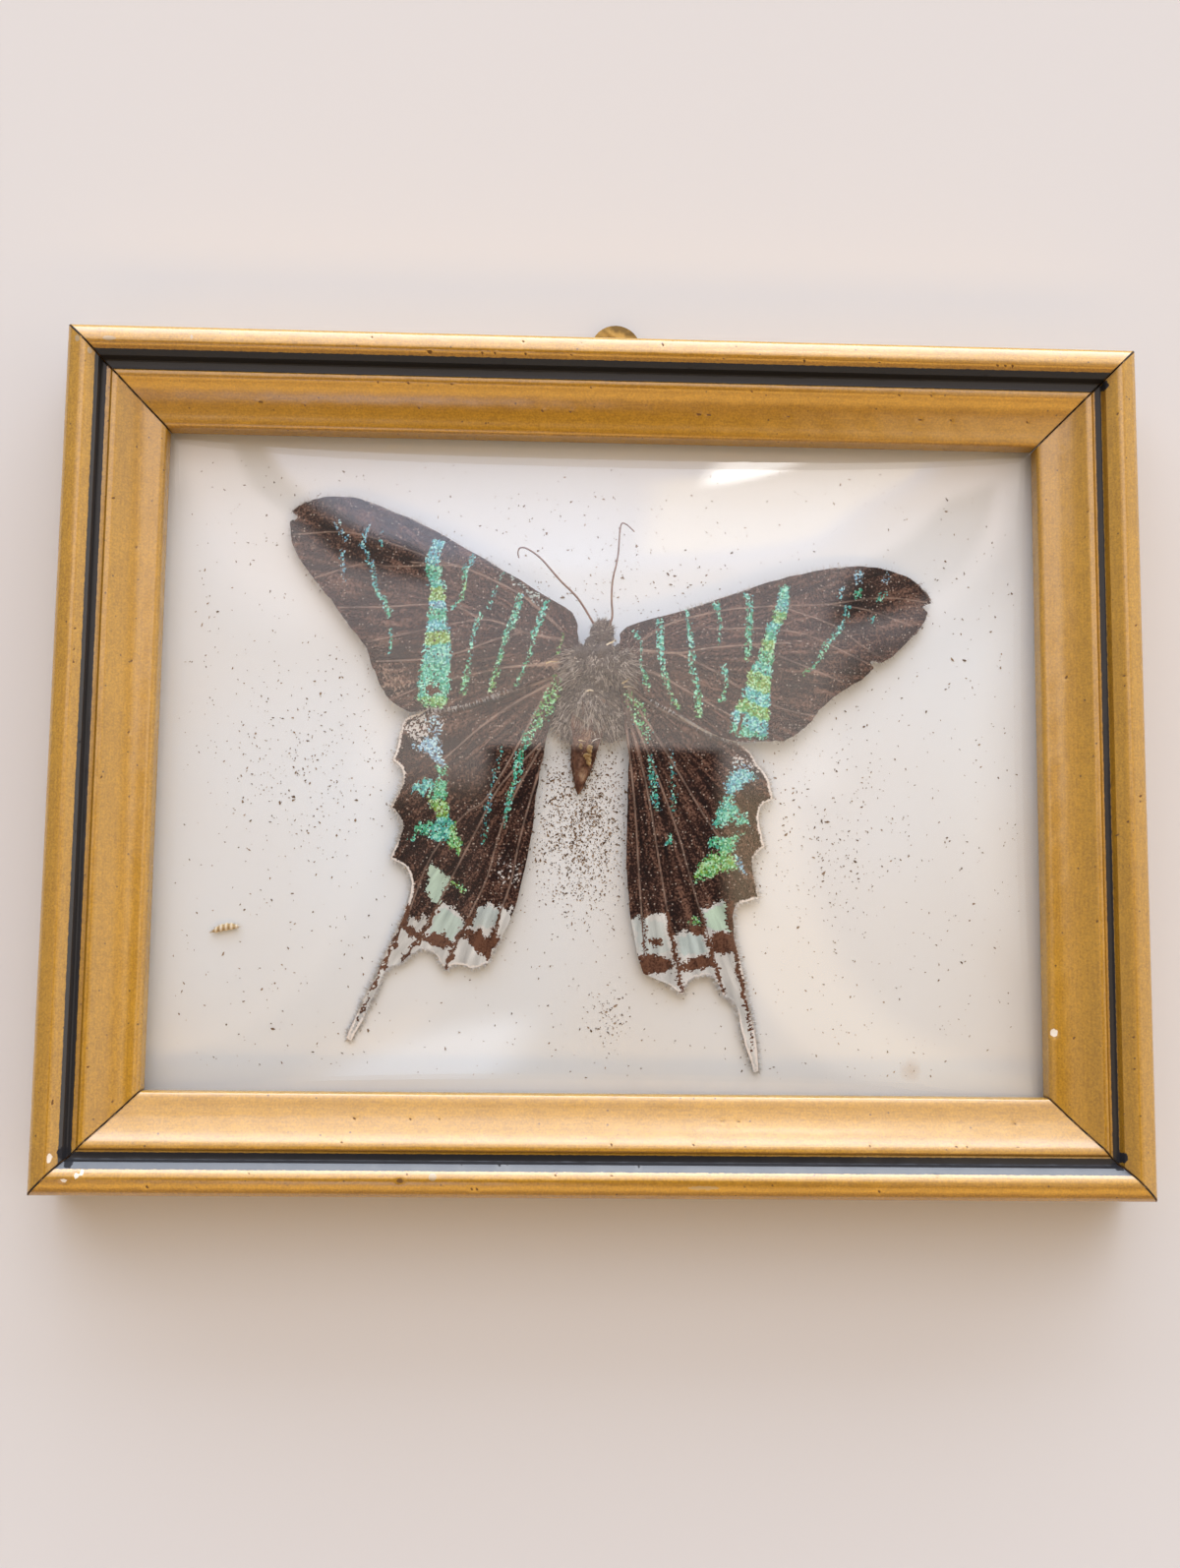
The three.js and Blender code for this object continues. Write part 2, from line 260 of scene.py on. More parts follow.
def waves(rng: np.random.Generator, places: np.ndarray, swing: float, pitch: float, count: int) -> np.ndarray:
    """Sums waves that run every way through points.

    Args:
        rng: Where the ways and the phases come from.
        places: The points.
        swing: Height of one wave.
        pitch: How tightly the waves follow each other.
        count: Number of waves.

    Returns:
        The sum at each point.
    """
    axes, turn = places.shape[1], 6
    return sum(swing * np.sin(places @ rng.normal(0, pitch, axes) + rng.uniform(0, turn)) for _ in range(count))


def upward(rng: np.random.Generator, count: int) -> np.ndarray:
    """Draws ways that point over the upper half of a ball.

    Args:
        rng: Where they come from.
        count: Number of ways.

    Returns:
        One unit row each.
    """
    ways = rng.normal(0, 1, (count, 3))
    ways /= np.linalg.norm(ways, axis=1)[:, None]
    ways[:, 2] = np.abs(ways[:, 2])
    return ways


def curve_through(points: Line, spans: int = 5) -> np.ndarray:
    """Runs a smooth line through points.

    Args:
        points: The points, of any number of channels.
        spans: Steps between two points.

    Returns:
        The points of the smooth line, ends included.
    """
    knots = np.array(points, float)
    padded = np.vstack((2 * knots[0] - knots[1], knots, 2 * knots[-1] - knots[-2]))
    share = np.linspace(0, 1, spans, endpoint=False)[:, None]
    runs = []
    for before, start, end, after in zip(padded, padded[1:], padded[2:], padded[3:]):
        runs.append(
            0.5
            * (
                2 * start
                + (end - before) * share
                + (2 * before - 5 * start + 4 * end - after) * share**2
                + (3 * start - before - 3 * end + after) * share**3
            )
        )
    return np.vstack((*runs, knots[-1:]))


def nearest_on(line: np.ndarray, places: np.ndarray) -> tuple[np.ndarray, np.ndarray, np.ndarray]:
    """Finds where points come nearest to a line.

    Args:
        line: The line's points.
        places: The points to measure.

    Returns:
        Distance, fractional point number along the line, and nearest place, for each point.
    """
    gap = np.full(len(places), np.inf)
    along = np.zeros(len(places))
    foot = np.zeros((len(places), 2))
    for number, (start, end) in enumerate(zip(line[:-1, :2], line[1:, :2])):
        step = end - start
        share = np.clip((places - start) @ step / max(step @ step, 1e-9), 0, 1)
        here = start + share[:, None] * step
        away = np.hypot(*(places - here).T)
        closer = away < gap
        gap[closer], along[closer], foot[closer] = away[closer], number + share[closer], here[closer]
    return gap, along, foot


def within(loop: np.ndarray, places: np.ndarray) -> np.ndarray:
    """Tells which points lie inside a closed outline.

    Args:
        loop: The outline's points.
        places: The points to test.

    Returns:
        True for each point inside.
    """
    held = np.zeros(len(places), bool)
    x, y = places.T
    for (x0, y0), (x1, y1) in zip(loop, np.roll(loop, -1, axis=0)):
        if y0 != y1:
            held ^= ((y0 > y) != (y1 > y)) & (x < x0 + (y - y0) * (x1 - x0) / (y1 - y0))
    return held


@dataclass(frozen=True)
class Finish:
    """A real material, by name, that knows what feeds its shader."""

    name: str

    def paint(self, node: Adder) -> Inputs:
        """Gives what feeds the shader; each finish has its own way."""
        raise NotImplementedError(self.name)

    def material(self) -> bpy.types.Material:
        """Gives the finish's material, made on first use.

        Returns:
            The material.
        """
        known = bpy.data.materials.get(self.name)
        if known:
            return known
        made = bpy.data.materials.new(self.name)
        made.use_nodes = True
        tree = made.node_tree
        feed(tree, tree.nodes["Principled BSDF"], self.paint(partial(add_node, tree)))
        return made


@dataclass(frozen=True)
class GiltPaint(Finish):
    """Bronze-powder gilding under old varnish: a warm satin metal whose edges flash nearly white.

    The channel in the moulding is lined out in black gloss by hand. Close up the gold is mottled, with dark
    nicks, rubs down to grey and chips down to the white ground.
    """

    gold: str = "D3A628"
    deep: str = "B1851D"
    channel: float = 4.4

    def paint(self, node: Adder) -> Inputs:
        """Mottled gold, black in the channel and at the mitres, and whatever has been rubbed or knocked off.

        Args:
            node: Adds a node to the material.

        Returns:
            The shader's inputs.
        """
        place = node("TexCoord").outputs["Object"]
        inset, along, lining, mitre = (
            node("Attribute", attribute_name=name).outputs["Fac"] for name in ("inset", "along", "lining", "mitre")
        )
        hurt = node("Attribute", attribute_name="hurt")
        bare, black, silver = node("SeparateColor", (hurt.outputs["Color"],)).outputs
        drawn = node("Math", (along, 0.08), operation="MULTIPLY")
        grain = node("CombineXYZ", (drawn, inset))
        streak = node("TexNoise", {"Vector": grain, "Scale": 4.5, "Detail": 3.0})
        cloud, mottle, powder = (
            node("TexNoise", {"Vector": place, "Scale": 1 / (size * MM), "Detail": detail})
            for size, detail in ((6, 3.0), (0.6, 3.0), (0.24, 1.0))
        )
        blend = node("Math", (streak, 0.4, -0.37), operation="MULTIPLY_ADD")
        for noise, share in ((cloud, 0.25), (mottle, 0.35), (powder, 0.75)):
            blend = node("Math", (noise, share, blend), operation="MULTIPLY_ADD")
        colour = node("ValToRGB", (blend,), ((0.3, self.deep), (0.7, self.gold)))
        shaky = node("Math", (mottle, 0.14, lining), operation="MULTIPLY_ADD")
        lined = node("MapRange", (shaky, 0.04, 0.1, 1.0, 0.0))
        ragged = []
        for mask in (silver, hurt.outputs["Alpha"], bare, black):
            rough = node("Math", (mottle, 0.8, mask), operation="MULTIPLY_ADD")
            ragged.append(node("MapRange", (rough, 0.86, 0.98)))
        rubbed, nicked, chipped, blackened = ragged
        seam = node("MapRange", (mitre, 0.05, 0.16, 1.0, 0.0))
        freckle = node("MapRange", (mottle, 0.66, 0.76, 0.0, 0.4))
        pits = node("TexVoronoi", {"Vector": place, "Scale": 1 / (1.3 * MM)})
        deepest = node("MapRange", (pits.outputs["Distance"], 0.07, 0.12, 1.0, 0.0))
        some = node("MapRange", (pits.outputs["Color"], 0.52, 0.6, 0.0, 0.8))
        pitted = node("Math", (deepest, some), operation="MULTIPLY")
        layers = (
            (freckle, "8A6222"),
            (pitted, "654616"),
            (rubbed, "BBA57C"),
            (nicked, "6E4C1C"),
            (chipped, "E9E2D3"),
            (lined, "121217"),
            (blackened, "14161E"),
            (seam, "120C07"),
        )
        for mask, code in layers:
            colour = node("Mix", {0: mask, 6: colour, 7: linear(code)}, data_type="RGBA")
        flat = seam
        for mask in (nicked, chipped, blackened):
            flat = node("Math", (flat, mask), operation="MAXIMUM")
        covered = node("Math", (flat, lined), operation="MAXIMUM")
        aside = node("Math", (inset, self.channel), operation="SUBTRACT")
        depth = node("Math", (aside,), operation="ABSOLUTE")
        dirt = node("MapRange", (depth, 0.45, 0.6, 0.82, 0.5))
        dulled = node("Math", (lined, dirt, flat), operation="MULTIPLY_ADD")
        return {
            "Base Color": colour,
            "Metallic": node("MapRange", (covered, 0.0, 1.0, 0.85, 0.0)),
            "Roughness": node("MapRange", (powder, 0.0, 1.0, 0.7, 0.82)),
            "Coat Weight": node("MapRange", (dulled, 0.0, 1.0, 1.0, 0.0)),
            "Coat Roughness": node("MapRange", (lined, 0.0, 1.0, 0.22, 0.16)),
            "Coat IOR": 2.0,
            "Normal": node("Bump", {"Strength": 0.6, "Distance": 0.015 * MM, "Height": powder}),
        }


@dataclass(frozen=True)
class PlainWood(Finish):
    """Bare softwood at the back and in the rabbet: pale straw with a fine drawn grain."""

    light: str = "C7A679"
    dark: str = "9C774A"

    def paint(self, node: Adder) -> Inputs:
        """Grain that runs along the rail.

        Args:
            node: Adds a node to the material.

        Returns:
            The shader's inputs.
        """
        inset, along = (node("Attribute", attribute_name=name).outputs["Fac"] for name in ("inset", "along"))
        drawn = node("Math", (along, 0.03), operation="MULTIPLY")
        grain = node("CombineXYZ", (drawn, inset))
        figure = node("TexNoise", {"Vector": grain, "Scale": 1.6, "Detail": 5.0})
        colour = node("ValToRGB", (figure,), ((0.35, self.dark), (0.65, self.light)))
        return {"Base Color": colour, "Roughness": 0.75}


@dataclass(frozen=True)
class ClearGlass(Finish):
    """Thin drawn glass, all but colourless: what shows is the sheen of the room on its dome."""

    tint: str = "FBFCFB"

    def paint(self, node: Adder) -> Inputs:
        """Gives plain smooth glass."""
        return {"Base Color": linear(self.tint), "Transmission Weight": 1.0, "Roughness": 0.0, "IOR": 1.5}


@dataclass(frozen=True)
class MountPaper(Finish):
    """White mounting card: a cool white with faint greyer clouding and one old brown spot."""

    white: str = "DFE7EE"
    grey: str = "DEE0E0"
    brown: str = "B89468"
    spot: Point = (36.8, -35.9)

    def paint(self, node: Adder) -> Inputs:
        """Soft clouds, and the spot where damp got in.

        Args:
            node: Adds a node to the material.

        Returns:
            The shader's inputs.
        """
        place = node("TexCoord").outputs["Object"]
        cloud, fine = (
            node("TexNoise", {"Vector": place, "Scale": 1 / (size * MM), "Detail": detail})
            for size, detail in ((40, 2.0), (0.8, 3.0))
        )
        paper = node("ValToRGB", (cloud,), ((0.35, self.white), (0.7, self.grey)))
        x, y = self.spot
        middle = ((x + MIDDLE[0]) * MM, (y + MIDDLE[1]) * MM, CARD_FACE * MM)
        away = node("VectorMath", (place, middle), operation="DISTANCE")
        ragged = node("Math", (fine, 1.4 * MM, away), operation="MULTIPLY_ADD")
        damp = node("MapRange", (ragged, 0.8 * MM, 2.2 * MM, 0.35, 0.0))
        stained = node("Mix", {0: damp, 6: paper, 7: linear(self.brown)}, data_type="RGBA")
        return {"Base Color": stained, "Roughness": 0.85, "Specular IOR Level": 0.2}


@dataclass(frozen=True)
class Clouded(Finish):
    """A material of two tones that cloud into each other, with the size of the clouds in millimetres."""

    dull: str
    bright: str
    cloud: float
    rough: float
    detail: float = 4.0
    ramp: Point = (0.35, 0.65)
    metal: float = 0.0

    def paint(self, node: Adder) -> Inputs:
        """Clouds of the one tone in the other.

        Args:
            node: Adds a node to the material.

        Returns:
            The shader's inputs.
        """
        place = node("TexCoord").outputs["Object"]
        cloud = node("TexNoise", {"Vector": place, "Scale": 1 / (self.cloud * MM), "Detail": self.detail})
        colour = node("ValToRGB", (cloud,), tuple(zip(self.ramp, (self.dull, self.bright))))
        return {"Base Color": colour, "Metallic": self.metal, "Roughness": self.rough}


@dataclass(frozen=True)
class WingScales(Finish):
    """Dead wing scales: matt brown dust with grainy bands that throw back blue, turquoise and green.

    Fine streaks run out from the root of the wing. The scales are drawn two to three times as large as real
    ones, so that a band breaks up into grains at its edge.
    """

    scale: float = 0.2
    shade: str = "120807"
    brown: str = "291611"
    rust: str = "725446"

    def paint(self, node: Adder) -> Inputs:
        """Lays the markings over the brown, scale by scale.

        Args:
            node: Adds a node to the material.

        Returns:
            The shader's inputs.
        """
        place = node("TexCoord").outputs["Object"]
        marks, wear, fan = (node("Attribute", attribute_name=name) for name in ("marks", "wear", "fan"))
        shimmer, hue, pale = node("SeparateColor", (marks.outputs["Color"],)).outputs
        vein, rub, fringe = node("SeparateColor", (wear.outputs["Color"],)).outputs
        grains, lint = (
            node("TexVoronoi", {"Vector": place, "Scale": 1 / (size * MM)}) for size in (self.scale, 0.34)
        )
        chance, tint, gleam = node("SeparateColor", (grains.outputs["Color"],)).outputs
        shown = []
        for mask, most in ((shimmer, 0.95), (pale, 1.08), (marks.outputs["Alpha"], 1.2), (rub, 1.0)):
            luck = node("Math", (mask, most), operation="MULTIPLY")
            over = node("Math", (luck, chance), operation="SUBTRACT")
            shown.append(node("MapRange", (over, 0.0, 0.06)))
        shining, paled, darkened, rubbed = shown
        blotch, speck = (
            node("TexNoise", {"Vector": place, "Scale": 1 / (size * MM), "Detail": detail})
            for size, detail in ((2.4, 4.0), (0.24, 2.0))
        )
        streak = node("TexNoise", {"Vector": fan.outputs["Vector"], "Scale": 1.0, "Detail": 4.0})
        dot = node("MapRange", (lint.outputs["Distance"], 0.2, 0.32, 1.0, 0.0))
        rare = node("MapRange", (lint.outputs["Color"], 0.62, 0.76, 0.0, 0.7))
        flecks = node("Math", (dot, rare), operation="MULTIPLY")
        level = node("Math", (blotch, 0.3, -0.55), operation="MULTIPLY_ADD")
        for noise, share in ((speck, 0.95), (streak, 0.85)):
            level = node("Math", (noise, share, level), operation="MULTIPLY_ADD")
        colour = node("ValToRGB", (level,), ((0.3, self.shade), (0.5, self.brown), (0.72, self.rust)))
        shifted = node("Math", (tint, 0.24, hue), operation="MULTIPLY_ADD")
        back = node("Math", (shifted, 0.12), operation="SUBTRACT")
        rainbow = (
            (0.0, "B6D6EE"),
            (0.14, "86BFE8"),
            (0.28, "5CBFD8"),
            (0.45, "5AD2C2"),
            (0.6, "3FC093"),
            (0.75, "66C46E"),
            (0.92, "98BC42"),
        )
        lit = node("ValToRGB", (back,), rainbow)
        deep = node("MapRange", (gleam, 0.0, 1.0, 0.34, 1.1))
        glow = node("VectorMath", {0: lit, 3: deep}, operation="SCALE")
        # Each grain keeps its own colour at a random brightness. The brightest grains are then mixed toward pale mint
        # as a painted glint, standing in for scales that catch the light.
        painted_glint = node("MapRange", (gleam, 0.5, 1.0, 0.0, 0.65))
        jewel = node("Mix", {0: painted_glint, 6: glow, 7: linear("CDEBDD")}, data_type="RGBA")
        shaky = node("Math", (speck, 0.1, vein), operation="MULTIPLY_ADD")
        rib = node("MapRange", (shaky, 0.09, 0.19, 1.0, 0.0))
        worn = node("MapRange", (blotch, 0.35, 0.6, 0.2, 0.62))
        seen = node("Math", (rib, worn), operation="MULTIPLY")
        on_pale = node("Math", (rib, paled), operation="MULTIPLY")
        chalk = node("ValToRGB", (hue,), ((0.0, "D6D4D1"), (0.45, "B9C8C7"), (1.0, "BBD8BE")))
        brushed = node("MapRange", (streak, 0.3, 0.7, 0.55, 1.08))
        bloom = node("VectorMath", {0: chalk, 3: brushed}, operation="SCALE")
        hemmed = node("Math", (speck, 1.1, fringe), operation="MULTIPLY_ADD")
        hem = node("MapRange", (hemmed, 0.95, 1.2))
        barred = node("ValToRGB", (level,), ((0.25, "2E1810"), (0.6, "664534")))
        layers = (
            (rubbed, linear("8A7262")),
            (seen, linear("A78F80")),
            (flecks, linear("BFB0A2")),
            (paled, bloom),
            (on_pale, linear("5A3A2C")),
            (shining, jewel),
            (hem, linear("DAD4CE")),
            (darkened, barred),
        )
        for mask, tone in layers:
            colour = node("Mix", {0: mask, 6: colour, 7: tone}, data_type="RGBA")
        return {"Base Color": colour, "Roughness": 0.7, "Specular IOR Level": 0.12}


@dataclass(frozen=True)
class DriedFur(Finish):
    """Dusty insect hair and skin: each strand has its own tone between dark and pale."""

    dark: str
    middle: str
    pale: str

    def paint(self, node: Adder) -> Inputs:
        """Reads the tone that each strand keeps.

        Args:
            node: Adds a node to the material.

        Returns:
            The shader's inputs.
        """
        tone = node("Attribute", attribute_name="tone").outputs["Fac"]
        place = node("TexCoord").outputs["Object"]
        dust = node("TexNoise", {"Vector": place, "Scale": 1 / (0.4 * MM), "Detail": 4.0})
        mixed = node("Math", (dust, 0.9, tone), operation="MULTIPLY_ADD")
        level = node("Math", (mixed, 0.45), operation="SUBTRACT")
        colour = node("ValToRGB", (level,), ((0.1, self.dark), (0.55, self.middle), (0.95, self.pale)))
        return {"Base Color": colour, "Roughness": 0.8, "Specular IOR Level": 0.2}


@dataclass(frozen=True)
class StudioPaper(Finish):
    """A plain pale sweep of paper under the object."""

    tone: str = "D6D7D8"

    def paint(self, node: Adder) -> Inputs:
        """Gives one even matt tone."""
        return {"Base Color": linear(self.tone), "Roughness": 0.9}


GILT = GiltPaint("bronze_powder_gilding")
WOOD = PlainWood("bare_softwood")
GLASS = ClearGlass("drawn_clear_glass")
PAPER = MountPaper("white_mounting_card")
# Pulp board is a dull grey-brown with short darker fibres; the small hardware has patchy tarnish on its metal.
BOARD = Clouded("pulp_backing_board", "6E614F", "9A8B75", 1.1, 0.9, detail=6.0, ramp=(0.4, 0.58))
STEEL = Clouded("dull_steel_pin", "7C776F", "B9B7B2", 1.8, 0.42, metal=1.0)
BRASS = Clouded("tarnished_brass", "5F4A2A", "B08A4A", 1.8, 0.38, metal=1.0)
SCALES = WingScales("moth_wing_scales")
FUR = DriedFur("dusty_thorax_hair", "2B221D", "665A50", "BDB2A6")
CHITIN = DriedFur("dried_abdomen_skin", "42291F", "745444", "AE9680")
DUST = DriedFur("shed_brown_scales", "54412F", "7B644E", "A5907A")
HUSK = DriedFur("cast_larval_skin", "9C8258", "C6B186", "E2D8C6")


def hand_over(piece: Piece, finishes: Sequence[Finish], nodes: Sequence[str] = ()) -> None:
    """Dresses a finished piece and puts it in the frame.

    Args:
        piece: The mesh object, already in place.
        finishes: Its finishes, in the order of its faces' material numbers.
        nodes: The frame's nodes that it stands for.
    """
    for finish in finishes:
        piece.data.materials.append(finish.material())
    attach(piece, "root")
    for name in nodes:
        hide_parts(name)


class Harm(Enum):
    """What has happened to the gilding at a spot, by the channel that shows it."""

    BARE = 0
    BLACK = 1
    RUBBED = 2
    NICK = 3


@dataclass(frozen=True)
class Blemish:
    """A spot of damage on a rail: how far along from the rail's middle, how far in, and how big."""

    kind: Harm
    along: float
    inset: float
    size: Point

    def cover(self, along: np.ndarray, inset: np.ndarray) -> np.ndarray:
        """Measures how strongly the spot covers points of the rail.

        Args:
            along: How far along from the rail's middle each point is.
            inset: How far in from the outer edge.

        Returns:
            Cover, from none to full.
        """
        span = np.hypot((along - self.along) / self.size[0], (inset - self.inset) / self.size[1])
        return np.clip(1.5 - span, 0, 1)


@dataclass
class Rail:
    """One length of gilt moulding, mitred at both ends.

    The section starts at the outer bottom edge: a rounded outer bead, the black channel, a fine fillet,
    the slope down to the sight edge, and the rabbet behind it.
    """

    side: str
    length: float
    reach: float
    turn: float
    blemishes: Sequence[Blemish] = ()
    nicks: int = 14
    step: float = 0.3
    seed: int = 1
    lining: Point = (3.1, 4.76)
    mitre_gap: float = 0.07
    rabbet: Point = (9.2, 5.3)
    mortise: float | None = None
    mortise_size: Place = (15.8, 5.8, 1.4)

    def section(self) -> np.ndarray:
        """Draws the moulding's section.

        Returns:
            Inset and height of each point, round the closed section.
        """
        bends = (
            ((0, 9.6), (0.02, 11.1), (0.9, 11.49), 9),
            ((0.9, 11.49), (1.9, 11.92), (2.3, 11.89), 7),
            ((2.3, 11.89), (2.6, 11.87), (2.95, 11.56), 5),
            ((6, 9.8), (8, 8.2), (10, 7.9), 17),
            ((10, 7.9), (11.3, 7.8), (11.3, 7.2), 7),
        )
        arcs = []
        for start, pull, end, steps in bends:
            t = np.linspace(0, 1, steps)[:, None]
            arcs.append((1 - t) ** 2 * np.array(start) + 2 * t * (1 - t) * np.array(pull) + t**2 * np.array(end))
        channel = (
            *((3.35, 11.15), (3.8, 10.75), (3.86, 10.2), (3.94, 9.62)),
            *((4.08, 9.5), (4.5, 9.45), (4.94, 9.5), (5.06, 9.62)),
        )
        fillet = ((5.14, 9.84), (5.28, 9.94), (5.6, 9.94), (5.86, 9.88))
        rabbet = ((11.3, self.rabbet[1]), self.rabbet, (self.rabbet[0], 0))
        crown = np.vstack((arcs[0], arcs[1][1:], arcs[2][1:]))
        return np.vstack(((0, 0), crown, channel, fillet, arcs[3], arcs[4][1:], rabbet))

    def build(self) -> Piece:
        """Runs the section out to length, cuts the mitres and wears the surface.

        Returns:
            The rail, in place.
        """
        section = self.section()
        half = self.length / 2
        circle = bpy.ops.mesh.primitive_circle_add
        rail = started(f"moulding_{self.side}", circle, vertices=len(section), fill_type="NOTHING")
        set_corners(rail, np.column_stack((np.full(len(section), -half), section)))
        steps = round(self.length / self.step)
        run = (self.length / steps * MM, 0, 0)
        with editing(rail):
            bpy.ops.mesh.extrude_region_move(TRANSFORM_OT_translate={"value": run})
        apply_modifier(
            rail,
            "ARRAY",
            count=steps,
            use_relative_offset=False,
            use_constant_offset=True,
            constant_offset_displace=run,
            use_merge_vertices=True,
            merge_threshold=0.01 * MM,
        )
        with editing(rail):
            for end in (-1, 1):
                bpy.ops.mesh.select_all(action="SELECT")
                bpy.ops.mesh.bisect(
                    plane_co=(end * (half - self.mitre_gap) * MM, 0, 0),
                    plane_no=(end, 1, 0),
                    use_fill=True,
                    clear_outer=True,
                )
            bpy.ops.mesh.select_all(action="SELECT")
            bpy.ops.mesh.normals_make_consistent(inside=False)
        if self.mortise is not None:
            self.cut_mortise(rail)
        self.wear(rail)
        # The back, the mitred ends, the mortise and the rabbet are left as bare wood.
        near, deep = 0.1, self.mortise_size[2]
        for face in rail.data.polygons:
            _, inset, height = face.center / MM
            ends = face.normal.z < -0.5 or abs(face.normal.x) > 0.5
            mortise = inset > near and height < deep + near
            rabbet = inset > self.rabbet[0] - near and height < self.rabbet[1] - near / 2
            face.material_index = 1 if ends or mortise or rabbet else 0
        smooth(rail, 30)
        rail.data.transform(
            Matrix.Translation(MIDDLE * MM)
            @ Matrix.Rotation(math.radians(self.turn), 4, "Z")
            @ Matrix.Translation((0, -self.reach * MM, 0))
        )
        hand_over(rail, (GILT, WOOD), (f"rail_{self.side}",))
        return rail

    def cut_mortise(self, rail: Piece) -> None:
        """Cuts the shallow mortise for the hanger's plate into the back.

        Args:
            rail: The rail, still lying along X with its outer edge on Y = 0.
        """
        wide, inward, deep = self.mortise_size
        block = started("mortise_block", bpy.ops.mesh.primitive_cube_add, size=2)
        set_corners(block, corners(block) * MM * (wide / 2, inward, deep) + (self.mortise, 0, 0))
        apply_modifier(rail, "BOOLEAN", object=block, operation="DIFFERENCE", solver="EXACT")
        bpy.data.objects.remove(block)

    def wear(self, rail: Piece) -> None:
        """Marks and dents the gilding.

        Args:
            rail: The rail, still lying along X with its outer edge on Y = 0.
        """
        places = corners(rail)
        along, inset, height = places.T
        keep_values(rail, "along", along + self.seed * 300)
        keep_values(rail, "inset", inset)
        keep_values(rail, "lining", np.abs(inset - sum(self.lining) / 2) - (self.lining[1] - self.lining[0]) / 2)
        keep_values(rail, "mitre", self.length / 2 - self.mitre_gap - np.abs(along) - inset)
        rng = np.random.default_rng(self.seed)
        spots = list(self.blemishes)
        for _ in range(self.nicks):
            reach = rng.uniform(-0.45, 0.45) * self.length
            ridge = rng.choice((1.3, 2.8, 3.6, 3.7, 6.0, 8.5))
            spots.append(Blemish(Harm.NICK, reach, ridge, rng.uniform(0.07, 0.2, 2)))
        hurt = np.zeros((len(places), 4))
        gilt, upper, clear = height > 3, height > 6, 0.3
        for spot in spots:
            channel = spot.kind.value
            hurt[:, channel] = np.maximum(hurt[:, channel], spot.cover(along, inset) * gilt)
        keep_values(rail, "hurt", hurt)
        faced = upper & (np.abs(along) < self.length / 2 - inset - clear)
        dents = 0.012 * np.sin(along * 0.9 + rng.uniform(0, 6)) * np.sin(along * 0.31 + inset)
        knocked = 0.08 * np.maximum(hurt[:, 0], hurt[:, 3])
        places[:, 2] += (dents + rng.normal(0, 0.003, len(places)) - knocked) * faced
        set_corners(rail, places)


